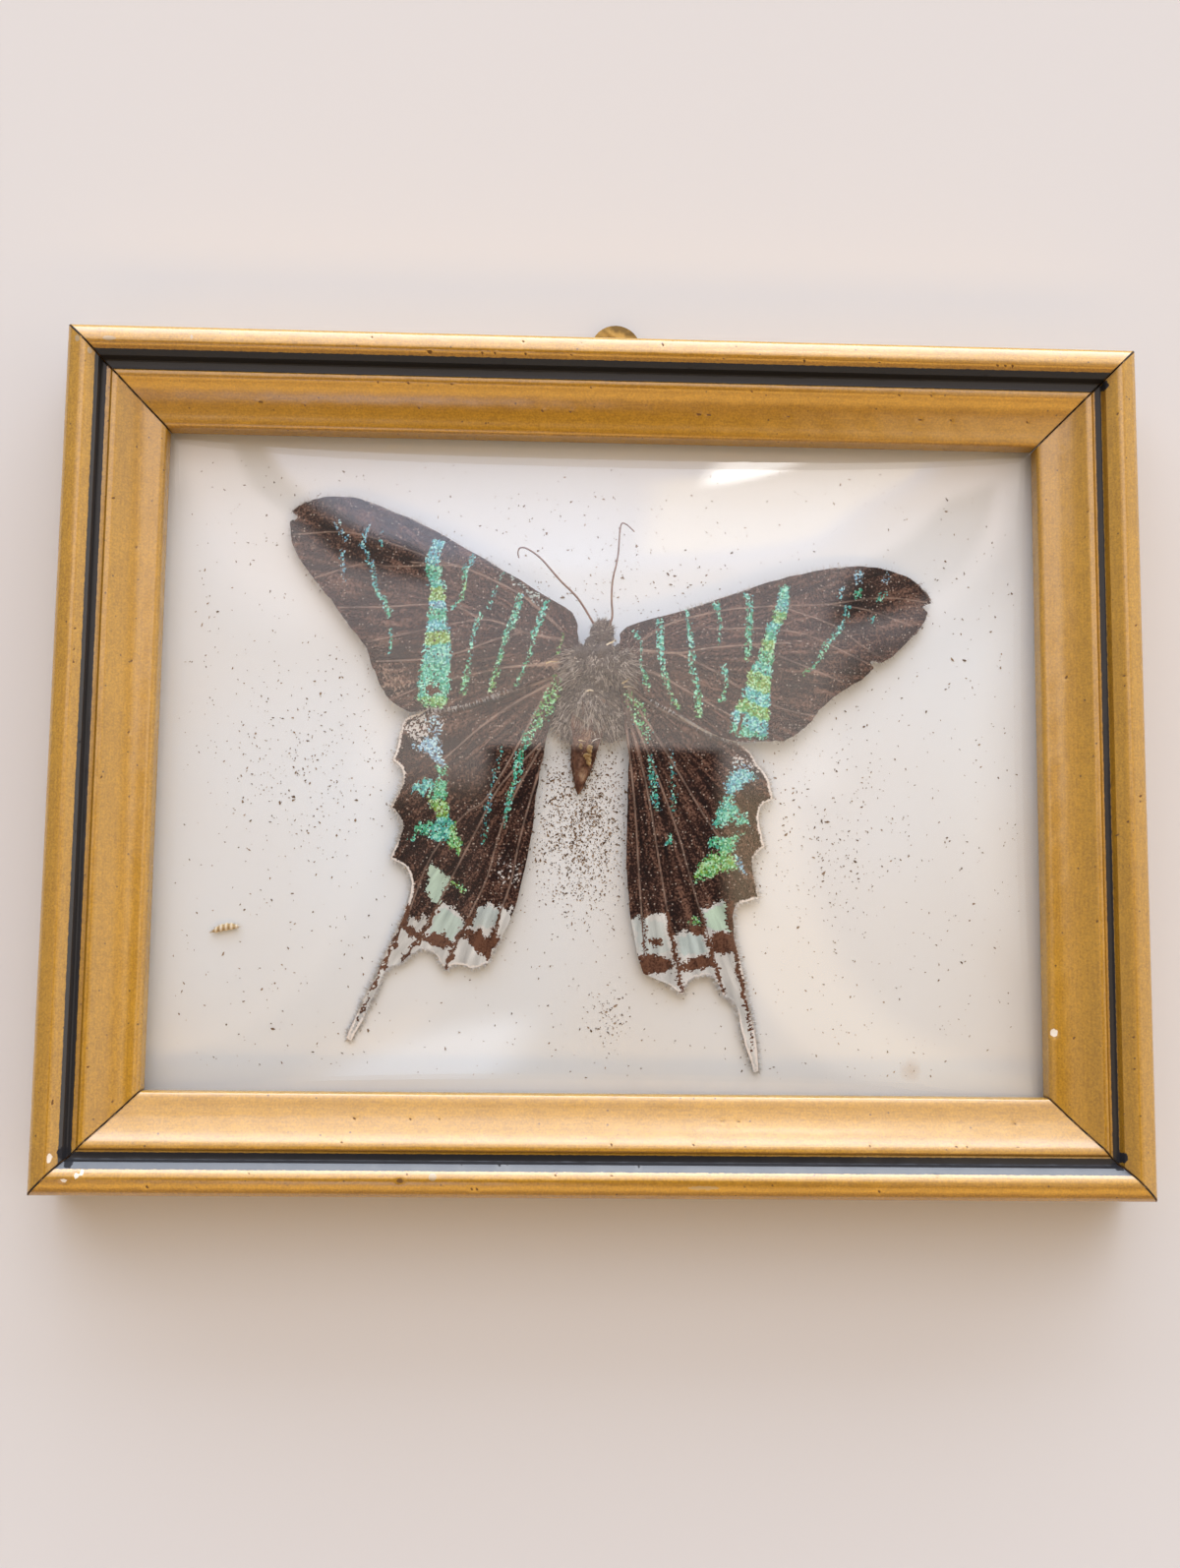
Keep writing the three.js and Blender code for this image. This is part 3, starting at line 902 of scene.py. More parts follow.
@dataclass
class PictureFrame:
    """The four rails with their glass, card, board, pins and hanger."""

    pins_long: float = 30.0
    pins_short: float = 20.0

    def rails(self) -> None:
        """Makes the four mouldings, each with its own wear."""
        wide, tall = FRAME_SIZE
        bare, black, rub, nick = Harm
        below = (
            Blemish(bare, -59.0, 1.9, (0.35, 0.2)),
            Blemish(bare, -57.7, 2.4, (0.25, 0.4)),
            Blemish(bare, -57.1, 2.8, (0.2, 0.4)),
            Blemish(black, -58.9, 3.6, (0.6, 0.35)),
            Blemish(black, 59.0, 3.9, (0.5, 0.3)),
            Blemish(nick, -22.2, 2.1, (0.4, 0.3)),
            Blemish(rub, -18.6, 2.5, (0.45, 0.4)),
            Blemish(rub, 11.6, 1.5, (1.8, 0.25)),
        )
        right = (
            Blemish(black, 45.6, 3.75, (0.6, 0.3)),
            Blemish(black, -45.2, 3.9, (0.6, 0.4)),
            Blemish(bare, -31.3, 10.7, (0.5, 0.4)),
        )
        above = (
            Blemish(rub, 58.3, 2.2, (0.8, 0.3)),
            Blemish(rub, 48.7, 1.8, (0.2, 0.4)),
            Blemish(nick, 41.1, 8.3, (0.35, 0.1)),
        )
        left = (
            Blemish(rub, -47.9, 1.5, (0.5, 0.3)),
            Blemish(rub, -46.5, 3.0, (0.4, 0.3)),
            Blemish(bare, 45.9, 2.7, (0.6, 0.25)),
            Blemish(black, 45.4, 3.7, (0.7, 0.4)),
        )
        plans = (
            Rail("bottom", wide, tall / 2, 0, below, 44, seed=1),
            Rail("right", tall, wide / 2, 90, right, 36, seed=2, lining=(3.98, 4.72)),
            Rail("top", wide, tall / 2, 180, above, 70, seed=3, lining=(3.2, 5.15), mortise=-1.4),
            Rail("left", tall, wide / 2, 270, left, 36, seed=4, lining=(3.45, 4.47)),
        )
        for plan in plans:
            plan.build()

    def glass(
        self, seat: float = 3.8, flange: float = 2.4, rise: float = 6.0, fullness: float = 2.3, thick: float = 1.4
    ) -> None:
        """Swells a flat grid into the domed glass.

        Args:
            seat: Height of the rim's underside.
            flange: Width of the flat rim.
            rise: Height of the dome over the rim.
            fullness: How square the dome's shoulders are.
            thick: Thickness of the glass.
        """
        cuts = {"x_subdivisions": 135, "y_subdivisions": 102}
        pane = started("domed_glass", bpy.ops.mesh.primitive_grid_add, size=1, **cuts)
        places = corners(pane) * MM * np.array((*SHEET_SIZE, 1))
        half = np.array(SHEET_SIZE) / 2 - flange
        shares = np.clip(np.abs(places[:, :2]) / half, 0, 1) ** fullness
        places[:, 2] = seat + rise * np.prod(1 - shares, axis=1)
        set_corners(pane, places + MIDDLE)
        apply_modifier(pane, "SOLIDIFY", thickness=thick * MM, offset=1.0)
        smooth(pane, 40)
        pane.visible_shadow = False
        pane.visible_diffuse = False
        hand_over(pane, (GLASS,), ("convex_glass",))

    def sheet(self, node: str, low: float, high: float, finish: Finish) -> None:
        """Cuts a flat sheet for the rabbet.

        Args:
            node: The frame's node that it stands for.
            low: Height of its back.
            high: Height of its face.
            finish: Its material.
        """
        board = started(f"{node}_sheet", bpy.ops.mesh.primitive_cube_add, size=1)
        size = np.array((*SHEET_SIZE, high - low))
        set_corners(board, corners(board) * MM * size + MIDDLE + (0, 0, (low + high) / 2))
        with editing(board):
            bpy.ops.mesh.bevel(offset=0.12 * MM, segments=2, affect="EDGES")
        smooth(board)
        hand_over(board, (finish,), (node,))

    def pins(self, radius: float = 0.55, height: float = 0.95, outer: float = 5.2, inner: float = 14.2) -> None:
        """Drives the pins that hold the board in.

        Args:
            radius: Radius of a pin.
            height: Height of its middle over the back.
            outer: Inset of its buried end.
            inner: Inset of its free end.
        """
        wide, tall = np.array(FRAME_SIZE) / 2
        rows = (
            ("top", ("left", "right"), tall, 90, (-self.pins_long, self.pins_long)),
            ("bottom", ("left", "right"), tall, 270, (-self.pins_long, self.pins_long)),
            ("left", ("upper", "lower"), wide, 180, (self.pins_short, -self.pins_short)),
            ("right", ("upper", "lower"), wide, 0, (self.pins_short, -self.pins_short)),
        )
        for side, names, reach, turn, shifts in rows:
            for name, shift in zip(names, shifts):
                away = reach - (outer + inner) / 2
                angle = math.radians(turn)
                across = np.array((0, shift)) if side in ("left", "right") else np.array((shift, 0))
                spot = np.array((math.cos(angle), math.sin(angle))) * away + across
                pin = started(
                    f"pin_{side}_{name}",
                    bpy.ops.mesh.primitive_cylinder_add,
                    vertices=24,
                    radius=radius * MM,
                    depth=(inner - outer) * MM,
                    rotation=(0, math.pi / 2, angle),
                )
                bpy.ops.object.transform_apply(location=False, rotation=True, scale=False)
                apply_modifier(pin, "BEVEL", width=0.12 * MM, segments=2, limit_method="ANGLE")
                set_corners(pin, corners(pin) + MIDDLE + (*spot, height))
                smooth(pin)
                hand_over(pin, (STEEL,), (f"brad_{side}_{name}",))

    def hanger(self) -> None:
        """Softens the stamped brass plate and its nails."""
        nails = ("hanger_nail_left", "hanger_nail_right")
        for node in ("hanger_plate", *nails):
            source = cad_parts[node]
            metal = bpy.data.objects.new(f"pressed_{node}", source.data.copy())
            metal.data.materials.clear()
            bpy.context.collection.objects.link(metal)
            with editing(metal):
                bpy.ops.mesh.remove_doubles(threshold=0.001 * MM)
                bpy.ops.mesh.dissolve_limited(angle_limit=math.radians(3))
            apply_modifier(metal, "BEVEL", width=0.08 * MM, segments=2, limit_method="ANGLE")
            smooth(metal)
            slot, finish = ("steel_pin", STEEL) if node in nails else ("brass_hanger", BRASS)
            hand_over(metal, (finish,), (node,))

    def build(self) -> None:
        """Makes the frame from the back to the glass."""
        self.sheet("back_board", 1.6, 3.0, BOARD)
        self.sheet("mount_card", 3.1, 3.7, PAPER)
        self.glass()
        self.rails()
        self.pins()
        self.hanger()


class Tone(Enum):
    """What a marking does to the brown of the wing, by the channel that shows it."""

    SHIMMER = 0
    PALE = 2
    DARK = 3
    RUBBED = 5


@dataclass(frozen=True)
class Stripe:
    """A marking that runs along a line; each point gives its place and the width there."""

    tone: Tone
    line: Line
    hues: Sequence[float] = (0.5,)
    strength: float = 1.0

    def cover(self, places: np.ndarray, soft: float = 0.3) -> tuple[np.ndarray, np.ndarray]:
        """Measures how strongly the stripe covers points, and with which hue.

        Args:
            places: The points.
            soft: Width of its grainy edge.

        Returns:
            Cover and hue for each point.
        """
        line = curve_through(self.line, 4)
        gap, along, _ = nearest_on(line, places)
        width = np.interp(along, np.arange(len(line)), line[:, 2])
        hue = np.interp(along / (len(line) - 1), np.linspace(0, 1, len(self.hues)), self.hues)
        return self.strength * np.clip(0.5 + (width / 2 - gap) / soft, 0, 1), hue


@dataclass(frozen=True)
class Patch:
    """A marking that fills an outline; its hue can step along a run from one point to another."""

    tone: Tone
    loop: Line
    hue: float = 0.5
    strength: float = 1.0
    run: tuple[Point, Point] | None = None
    cells: Line = ()

    def cover(self, places: np.ndarray, soft: float = 0.45) -> tuple[np.ndarray, np.ndarray]:
        """Measures how strongly the patch covers points, and with which hue.

        Args:
            places: The points.
            soft: Width of its grainy edge.

        Returns:
            Cover and hue for each point.
        """
        loop = np.array(self.loop, float)
        gap, _, _ = nearest_on(np.vstack((loop, loop[:1])), places)
        depth = np.where(within(loop, places), gap, -gap)
        hue = np.full(len(places), self.hue)
        if self.run:
            start, end = np.array(self.run)
            share = (places - start) @ (end - start) / ((end - start) @ (end - start))
            starts, hues = np.array(self.cells).T
            hue = hues[np.clip(np.searchsorted(starts, share) - 1, 0, len(hues) - 1)]
        return self.strength * np.clip(0.5 + depth / soft, 0, 1), hue


@dataclass
class Wing:
    """One wing: a thin sheet cut to a ragged outline, ribbed by its veins and marked scale by scale.

    Each stretch of the outline starts where the one before it ends. It is smooth, with corners between.
    """

    name: str
    stretches: Sequence[Line]
    veins: Sequence[Line]
    marks: Sequence[Stripe | Patch]
    lift: float
    fall_out: float
    fall_back: float
    fringe: float
    root: Point
    seed: int
    cell: float = 0.16
    thick: float = 0.07
    hem_wide: float = 0.5
    hem_hairs: int = 3600
    rib_high: float = 0.05
    rib_wide: float = 0.2
    fan_scale: Point = (34.0, 0.16)

    def outline(self) -> np.ndarray:
        """Runs the wing's edge smoothly through its stretches and frays it.

        Returns:
            The points of the closed outline.
        """
        start, runs = self.stretches[-1][-1], []
        for stretch in self.stretches:
            runs.append(curve_through((start, *stretch), 4)[:-1])
            start = stretch[-1]
        loop = np.vstack(runs)
        rng = np.random.default_rng(self.seed)
        turn = np.roll(loop, -1, axis=0) - np.roll(loop, 1, axis=0)
        across = np.column_stack((turn[:, 1], -turn[:, 0])) / np.maximum(np.hypot(*turn.T), 1e-6)[:, None]
        return loop + across * rng.normal(0, 0.045, (len(loop), 1))

    def height(self, places: np.ndarray) -> np.ndarray:
        """Gives the wing's height over the card: it droops outward and backward."""
        out, back = np.abs(places[:, 0]) - 3, 9 - places[:, 1]
        return self.lift - self.fall_out * out - self.fall_back * back

    @staticmethod
    def outward(places: np.ndarray, middle: float = -2.0, clear: float = 8.0, soft: float = 3.0) -> np.ndarray:
        """Tells how far points are clear of the body, where the wings have no fringe.

        Args:
            places: The points.
            middle: The body's middle line.
            clear: How far from it the fringe starts.
            soft: How far it takes to grow full.

        Returns:
            None to full for each point.
        """
        return np.clip((np.abs(places[:, 0] - middle) - clear) / soft, 0, 1)

    def build(self) -> Piece:
        """Cuts the sheet, lays the veins and markings in and gives it thickness.

        Returns:
            The wing, in place.
        """
        loop = self.outline()
        low, high = loop.min(axis=0) - self.cell, loop.max(axis=0) + self.cell
        columns, rows = np.ceil((high - low) / self.cell).astype(int)
        cuts = {"x_subdivisions": int(columns), "y_subdivisions": int(rows)}
        wing = started(f"scaled_{self.name}", bpy.ops.mesh.primitive_grid_add, size=1, **cuts)
        flat = low + (corners(wing)[:, :2] * MM + 0.5) * (high - low)
        flat = flat[self.trim(wing, within(loop, flat))]
        gap, _, edge = nearest_on(np.vstack((loop, loop[:1])), flat)
        outside = ~within(loop, flat)
        flat[outside] = edge[outside]
        gap[outside] = 0
        vein = np.full(len(flat), 2.0)
        for points in self.veins:
            vein = np.minimum(vein, nearest_on(curve_through(points, 3), flat)[0])
        rng = np.random.default_rng(self.seed)
        layers = np.zeros((len(flat), 8))
        frayed = flat.copy()
        for _ in range(9):
            frayed += rng.normal(0, 0.06, 2) * np.sin(flat @ rng.normal(0, 5, (2, 1)) + rng.uniform(0, 6))
        for mark in self.marks:
            cover, hue = mark.cover(frayed)
            channel = mark.tone.value
            stronger = cover > layers[:, channel]
            layers[stronger, channel] = cover[stronger]
            if mark.tone in (Tone.SHIMMER, Tone.PALE):
                layers[stronger, 1] = hue[stronger]
        spread = flat - self.root
        turn, reach = np.arctan2(spread[:, 1], np.abs(spread[:, 0])), np.hypot(*spread.T)
        layers[:, 4] = vein - 0.14 * np.exp(-reach / 6)
        ripple = waves(rng, flat, 0.03, 0.7, 5)
        hem = np.clip(1 - gap / self.hem_wide, 0, 1) * self.fringe
        layers[:, 6] = hem * self.outward(flat) * (0.85 + 2.5 * ripple)
        raised = self.height(flat) + self.rib_high * np.exp(-((vein / self.rib_wide) ** 2)) + ripple
        set_corners(wing, np.column_stack((flat, raised + CARD_FACE)) + MIDDLE)
        keep_values(wing, "marks", layers[:, :4])
        keep_values(wing, "wear", layers[:, 4:])
        fan = np.column_stack((turn, reach)) * self.fan_scale
        keep_values(wing, "fan", np.column_stack((fan, np.full((len(flat), 2), self.seed))))
        apply_modifier(wing, "SOLIDIFY", thickness=self.thick * MM, offset=-1.0)
        smooth(wing, 60)
        whole = joined(wing.name, wing, self.hem(loop))
        hand_over(whole, (SCALES,), (self.name,))
        return whole

    def hem(self, loop: np.ndarray) -> Piece:
        """Grows the pale hairs of the fringe along the wing's outer edge.

        Args:
            loop: The wing's outline.

        Returns:
            The hairs, marked pale all over.
        """
        rng = np.random.default_rng(self.seed)
        count = round(self.hem_hairs * self.fringe)
        steps = np.roll(loop, -1, axis=0) - loop
        lengths = np.maximum(np.hypot(*steps.T), 1e-6)
        share = lengths * self.outward(loop)
        pick = rng.choice(len(loop), count, p=share / share.sum())
        spots = loop[pick] + steps[pick] * rng.uniform(0, 1, (count, 1))
        turned = np.sign(np.sum(loop[:, 0] * np.roll(loop[:, 1], -1) - loop[:, 1] * np.roll(loop[:, 0], -1)))
        out = np.column_stack((steps[pick, 1], -steps[pick, 0])) / lengths[pick, None] * turned
        roots = np.column_stack((spots - out * 0.15, self.height(spots) + CARD_FACE - 0.02))
        ways = out * rng.uniform(0.25, 0.75, (count, 1)) + rng.normal(0, 0.12, (count, 2))
        hair = Strands(self.seed)
        hair.add(roots, np.column_stack((ways, rng.normal(-0.02, 0.06, count))), 0.07)
        hem = hair.build(f"fringe_{self.name}")
        points = len(hem.data.vertices)
        keep_values(hem, "marks", np.tile((0.0, 0.0, 1.0, 0.0), (points, 1)))
        keep_values(hem, "wear", np.tile((2.0, 0.0, 0.0, 0.0), (points, 1)))
        keep_values(hem, "fan", np.repeat(rng.uniform(0, 60, (count, 4)), points // count, axis=0))
        return hem

    @staticmethod
    def trim(wing: Piece, inside: np.ndarray) -> np.ndarray:
        """Deletes the grid's cells that lie outside the wing.

        Args:
            wing: The grid.
            inside: Which of its points lie within the outline.

        Returns:
            The numbers of the points that stay.
        """
        mesh = wing.data
        cells = np.empty(len(mesh.polygons) * 4, int)
        mesh.polygons.foreach_get("vertices", cells)
        cells = cells.reshape(-1, 4)
        drop = inside[cells].sum(axis=1) < 2
        bpy.context.tool_settings.mesh_select_mode = (False, False, True)
        with editing(wing):
            bpy.ops.mesh.select_all(action="DESELECT")
            bpy.ops.object.mode_set(mode="OBJECT")
            mesh.polygons.foreach_set("select", drop)
            bpy.ops.object.mode_set(mode="EDIT")
            bpy.ops.mesh.delete(type="FACE")
        bpy.context.tool_settings.mesh_select_mode = (True, False, False)
        return np.unique(cells[~drop])


def shine(points: Line, *hues: float, strength: float = 0.66) -> Stripe:
    """Gives a stripe of shimmering scales."""
    return Stripe(Tone.SHIMMER, points, hues, strength)


def jewel(hue: float, *loop: Point, strength: float = 1.0) -> Patch:
    """Gives a patch of shimmering scales."""
    return Patch(Tone.SHIMMER, loop, hue, strength)


def pale(*loop: Point, hue: float = 0.0, strength: float = 1.0) -> Patch:
    """Gives a patch of pale scales."""
    return Patch(Tone.PALE, loop, hue, strength)


def dark(*points: Place) -> Stripe:
    """Gives a line of dark scales over pale ones."""
    return Stripe(Tone.DARK, points)


def spot(*loop: Point) -> Patch:
    """Gives a patch of dark scales over pale ones."""
    return Patch(Tone.DARK, loop)


FORE_LIE = {"lift": 2.6, "fall_out": 0.042, "fall_back": 0.0, "fringe": 0.25}
HIND_LIE = {"lift": 2.0, "fall_out": 0.03, "fall_back": 0.025, "fringe": 1.0}

FOREWING_LEFT = Wing(
    "forewing_left",
    stretches=(
        ((-3.3, 12.3), (-3.0, 14.5), (-3.7, 17.4), (-6.9, 19.4)),
        (
            *((-11.2, 22.1), (-16.4, 25.1), (-21.6, 28.0), (-25.2, 29.5), (-29.2, 31.0)),
            *((-32.3, 31.3), (-34.8, 31.0), (-36.2, 30.5), (-37.5, 29.5)),
        ),
        ((-36.6, 28.7),),
        ((-37.6, 28.3),),
        (
            *((-37.4, 26.4), (-37.1, 25.2), (-35.7, 22.8), (-32.3, 18.6), (-30.4, 15.9)),
            *((-28.4, 13.5), (-27.6, 11.6), (-26.8, 9.7), (-25.8, 7.7), (-24.9, 6.6), (-22.7, 5.3)),
        ),
        ((-21.1, 5.6), (-16.6, 6.2), (-10.8, 8.2), (-5.6, 10.1)),
    ),
    veins=(
        ((-5.1, 15.5), (-9.2, 19.1), (-12.8, 21.1), (-16.9, 22.8), (-19.9, 23.1), (-23.0, 23.4)),
        ((-16.9, 22.8), (-21.5, 24.2), (-25.6, 25.7), (-31.0, 27.0), (-37.1, 26.6)),
        ((-19.9, 23.1), (-25.0, 22.8), (-29.1, 23.1), (-34.4, 21.4)),
        ((-5.0, 14.2), (-9.6, 15.1), (-12.4, 16.2), (-14.7, 16.5), (-18.3, 15.9), (-23.3, 14.8), (-28.1, 13.7)),
        ((-14.7, 16.5), (-17.3, 18.0), (-20.8, 18.3), (-25.2, 18.0), (-31.5, 17.8)),
        ((-9.6, 15.1), (-13.6, 13.9), (-16.9, 12.6), (-21.2, 11.7), (-26.8, 11.4)),
        ((-5.2, 11.4), (-8.5, 11.1), (-11.6, 10.8), (-16.6, 9.7), (-21.4, 8.4), (-25.1, 6.8)),
    ),
    marks=(
        Patch(
            Tone.SHIMMER,
            (
                *((-20.4, 26.0), (-21.2, 23.8), (-20.7, 20.2), (-20.9, 16.6), (-21.2, 13.0), (-21.6, 9.5)),
                *((-22.0, 7.2), (-21.2, 6.2), (-19.0, 5.9), (-18.3, 6.5), (-18.0, 9.5), (-18.1, 13.1)),
                *((-18.6, 16.7), (-19.0, 20.2), (-19.7, 24.4), (-19.0, 26.0)),
            ),
            run=((-20.0, 26.0), (-20.0, 6.0)),
            cells=(
                *((0.0, 0.3), (0.145, 0.56), (0.227, 0.42), (0.283, 0.9), (0.364, 0.2), (0.405, 0.55)),
                *((0.48, 0.33), (0.548, 0.92), (0.625, 0.42), (0.736, 0.52), (0.94, 0.78)),
            ),
        ),
        spot((-20.9, 8.3), (-19.5, 8.6), (-19.3, 7.7), (-20.2, 7.2)),
        shine(((-28.3, 27.9, 0.5), (-28.8, 25.9, 0.6), (-28.2, 24.1, 0.6), (-27.4, 22.1, 0.6)), 0.2, 0.3),
        shine(((-27.4, 22.1, 0.6), (-27.0, 20.0, 0.6), (-25.9, 18.5, 0.7), (-25.5, 16.9, 0.6)), 0.35, 0.55),
        shine(((-25.3, 15.0, 0.4), (-25.1, 12.8, 0.6)), 0.5, strength=0.5),
        shine(((-31.9, 27.9, 0.9), (-30.9, 26.4, 0.8)), 0.16, strength=0.5),
        shine(((-31.3, 24.6, 0.6), (-30.9, 21.0, 0.5)), 0.2, strength=0.35),
        shine(((-26.7, 27.0, 0.5), (-26.7, 25.2, 0.4)), 0.3, strength=0.4),
        shine(((-15.6, 24.1, 0.7), (-16.5, 22.6, 0.6), (-16.7, 20.6, 0.5)), 0.32, 0.45, 0.7),
        shine(((-16.7, 20.6, 0.5), (-16.9, 19.2, 0.7), (-18.0, 17.9, 0.5)), 0.85, 0.45),
        shine(((-12.1, 22.2, 0.6), (-13.7, 18.0, 0.5)), 0.42, strength=0.45),
        shine(((-14.7, 17.0, 0.6), (-15.1, 15.5, 0.45), (-15.7, 13.3, 0.4)), 0.5, 0.45),
        shine(((-15.7, 13.3, 0.4), (-15.9, 11.3, 0.5), (-16.5, 7.8, 0.8)), 0.5, 0.55, 0.72),
        shine(((-10.0, 19.4, 0.6), (-10.6, 16.7, 0.7), (-11.5, 14.9, 0.7)), 0.5, 0.55),
        shine(((-11.5, 14.9, 0.7), (-12.1, 12.4, 0.6), (-13.3, 8.0, 0.8)), 0.55, 0.65, 0.85),
        shine(((-6.7, 18.9, 0.5), (-7.6, 16.5, 0.7), (-8.3, 14.7, 0.7)), 0.45, 0.52, strength=0.7),
        shine(((-8.3, 14.7, 0.7), (-8.8, 12.1, 0.6), (-10.3, 8.8, 0.4)), 0.55, 0.65, strength=0.65),
        shine(((-4.8, 15.0, 0.5), (-5.5, 12.5, 0.5)), 0.85),
        Patch(Tone.RUBBED, ((-27.0, 11.4), (-24.0, 10.4), (-21.8, 8.7), (-25.1, 7.1)), strength=0.35),
        Patch(Tone.RUBBED, ((-8.3, 11.6), (-5.2, 11.9), (-5.3, 11.0), (-7.6, 10.9)), strength=0.85),
        Stripe(Tone.PALE, ((-11.5, 21.8, 0.3), (-9.4, 20.3, 0.5), (-6.8, 18.9, 0.4)), strength=0.3),
        Stripe(Tone.PALE, ((-8.8, 19.4, 0.3), (-7.6, 18.2, 0.3)), strength=0.4),
    ),
    **FORE_LIE,
    root=(-3.5, 14.0),
    seed=11,
)

FOREWING_RIGHT = Wing(
    "forewing_right",
    stretches=(
        ((3.1, 9.3), (2.0, 12.0), (2.0, 14.0), (2.7, 15.9), (9.4, 18.0)),
        (
            *((15.8, 20.3), (20.9, 22.1), (26.5, 23.5), (30.0, 24.0), (32.6, 24.0)),
            *((35.1, 23.5), (37.3, 22.6), (38.8, 21.4), (39.6, 20.4), (39.6, 19.8)),
        ),
        ((38.5, 19.4),),
        ((39.1, 18.7),),
        ((38.8, 17.6), (38.1, 16.5), (37.0, 15.3), (35.3, 13.6), (33.5, 12.3)),
        ((32.0, 12.6),),
        ((32.5, 11.6),),
        (
            *((31.0, 10.3), (28.8, 8.9), (27.0, 7.5), (25.5, 5.9), (24.3, 4.4)),
            *((22.3, 3.0), (21.4, 2.6)),
        ),
        ((19.5, 2.6), (15.1, 2.6), (10.5, 4.7), (5.7, 7.1)),
    ),
    veins=(
        ((4.7, 14.4), (7.2, 16.1), (11.0, 17.4), (15.5, 18.4), (20.9, 18.9), (27.0, 19.3), (33.5, 20.3), (39.0, 19.9)),
        ((4.4, 13.1), (8.8, 12.9), (12.6, 13.6), (17.7, 14.1), (22.2, 14.5)),
        ((12.6, 15.9), (19.0, 16.1), (24.1, 15.6), (28.6, 13.7), (32.4, 11.9)),
        ((8.8, 12.9), (13.3, 10.8), (16.8, 8.6), (21.5, 6.5), (25.4, 5.7)),
        ((20.9, 18.9), (27.3, 16.9), (30.9, 14.5), (34.4, 12.3)),
        ((5.1, 10.6), (7.0, 10.0), (11.4, 7.6), (15.5, 5.4)),
        ((27.0, 19.3), (31.9, 18.7), (37.3, 16.9)),
        ((17.7, 14.1), (24.1, 11.7), (28.6, 9.9)),
    ),
    marks=(
        Patch(
            Tone.SHIMMER,
            (
                *((21.1, 21.4), (20.7, 18.8), (19.7, 16.4), (19.0, 14.5), (18.3, 12.2), (17.3, 10.9)),
                *((17.0, 9.7), (16.6, 7.8), (15.8, 6.5), (15.3, 5.5), (15.2, 3.7), (16.5, 3.0)),
                *((19.5, 2.9), (19.7, 5.6), (19.8, 7.8), (20.2, 10.9), (20.3, 13.6), (20.9, 15.5)),
                *((21.7, 17.4), (22.3, 19.4), (22.3, 21.3)),
            ),
            run=((21.9, 21.6), (14.6, 3.2)),
            cells=(
                *((0.0, 0.52), (0.09, 0.38), (0.17, 0.8), (0.24, 0.45), (0.31, 0.6), (0.36, 0.84)),
                *((0.43, 0.62), (0.5, 0.48), (0.57, 0.86), (0.67, 0.4), (0.75, 0.82), (0.83, 0.34)),
                (0.91, 0.55),
            ),
        ),
        dark((16.6, 5.6, 0.4), (16.2, 3.6, 0.3)),
        shine(((3.4, 15.6, 0.4), (4.4, 14.1, 0.5), (4.5, 11.8, 0.4), (5.4, 8.6, 0.6)), 0.48, 0.5, 0.7),
        shine(((6.7, 17.0, 0.6), (6.9, 13.2, 0.7), (7.3, 10.6, 0.7)), 0.45, 0.55),
        shine(((7.3, 10.6, 0.7), (7.9, 8.1, 0.5), (8.9, 6.4, 0.5)), 0.6, 0.75),
        shine(((9.9, 18.1, 0.5), (10.2, 15.5, 0.7), (10.4, 13.3, 0.6)), 0.5, 0.45),
        shine(((10.4, 13.3, 0.6), (10.8, 10.1, 0.8), (11.3, 7.9, 0.7), (11.5, 5.4, 0.7)), 0.5, 0.6, 0.75),
        shine(((13.4, 19.1, 0.7), (13.9, 16.6, 0.6), (13.7, 14.0, 0.5)), 0.5, 0.6),
        shine(((14.3, 11.5, 0.5), (14.6, 9.6, 0.6), (14.2, 7.3, 0.5)), 0.45, 0.7),
        shine(((17.1, 20.3, 0.8), (17.5, 18.6, 0.8), (17.4, 16.0, 0.7), (17.2, 12.5, 0.6)), 0.4, 0.55, 0.65),
        shine(((29.3, 19.0, 0.5), (28.7, 16.7, 0.6), (27.0, 14.7, 0.6)), 0.4, 0.5, strength=0.65),
        shine(((27.0, 14.7, 0.6), (25.7, 12.4, 0.5), (24.0, 10.8, 0.6)), 0.55, 0.7, strength=0.65),
        shine(((30.7, 23.2, 0.9), (30.6, 22.0, 0.7)), 0.12, strength=0.6),
        shine(((30.6, 21.0, 0.8), (30.5, 20.4, 0.8)), 0.55, strength=0.7),
        shine(((28.6, 21.4, 0.5), (28.5, 20.0, 0.5)), 0.3, strength=0.6),
        shine(((34.2, 23.0, 0.9), (34.0, 22.2, 0.8)), 0.12, strength=0.5),
        shine(((33.7, 20.7, 0.8), (33.3, 20.0, 0.7)), 0.45, strength=0.5),
        shine(((32.4, 17.9, 0.6), (32.1, 17.2, 0.6)), 0.4, strength=0.35),
    ),
    **FORE_LIE,
    root=(2.5, 12.5),
    seed=12,
)

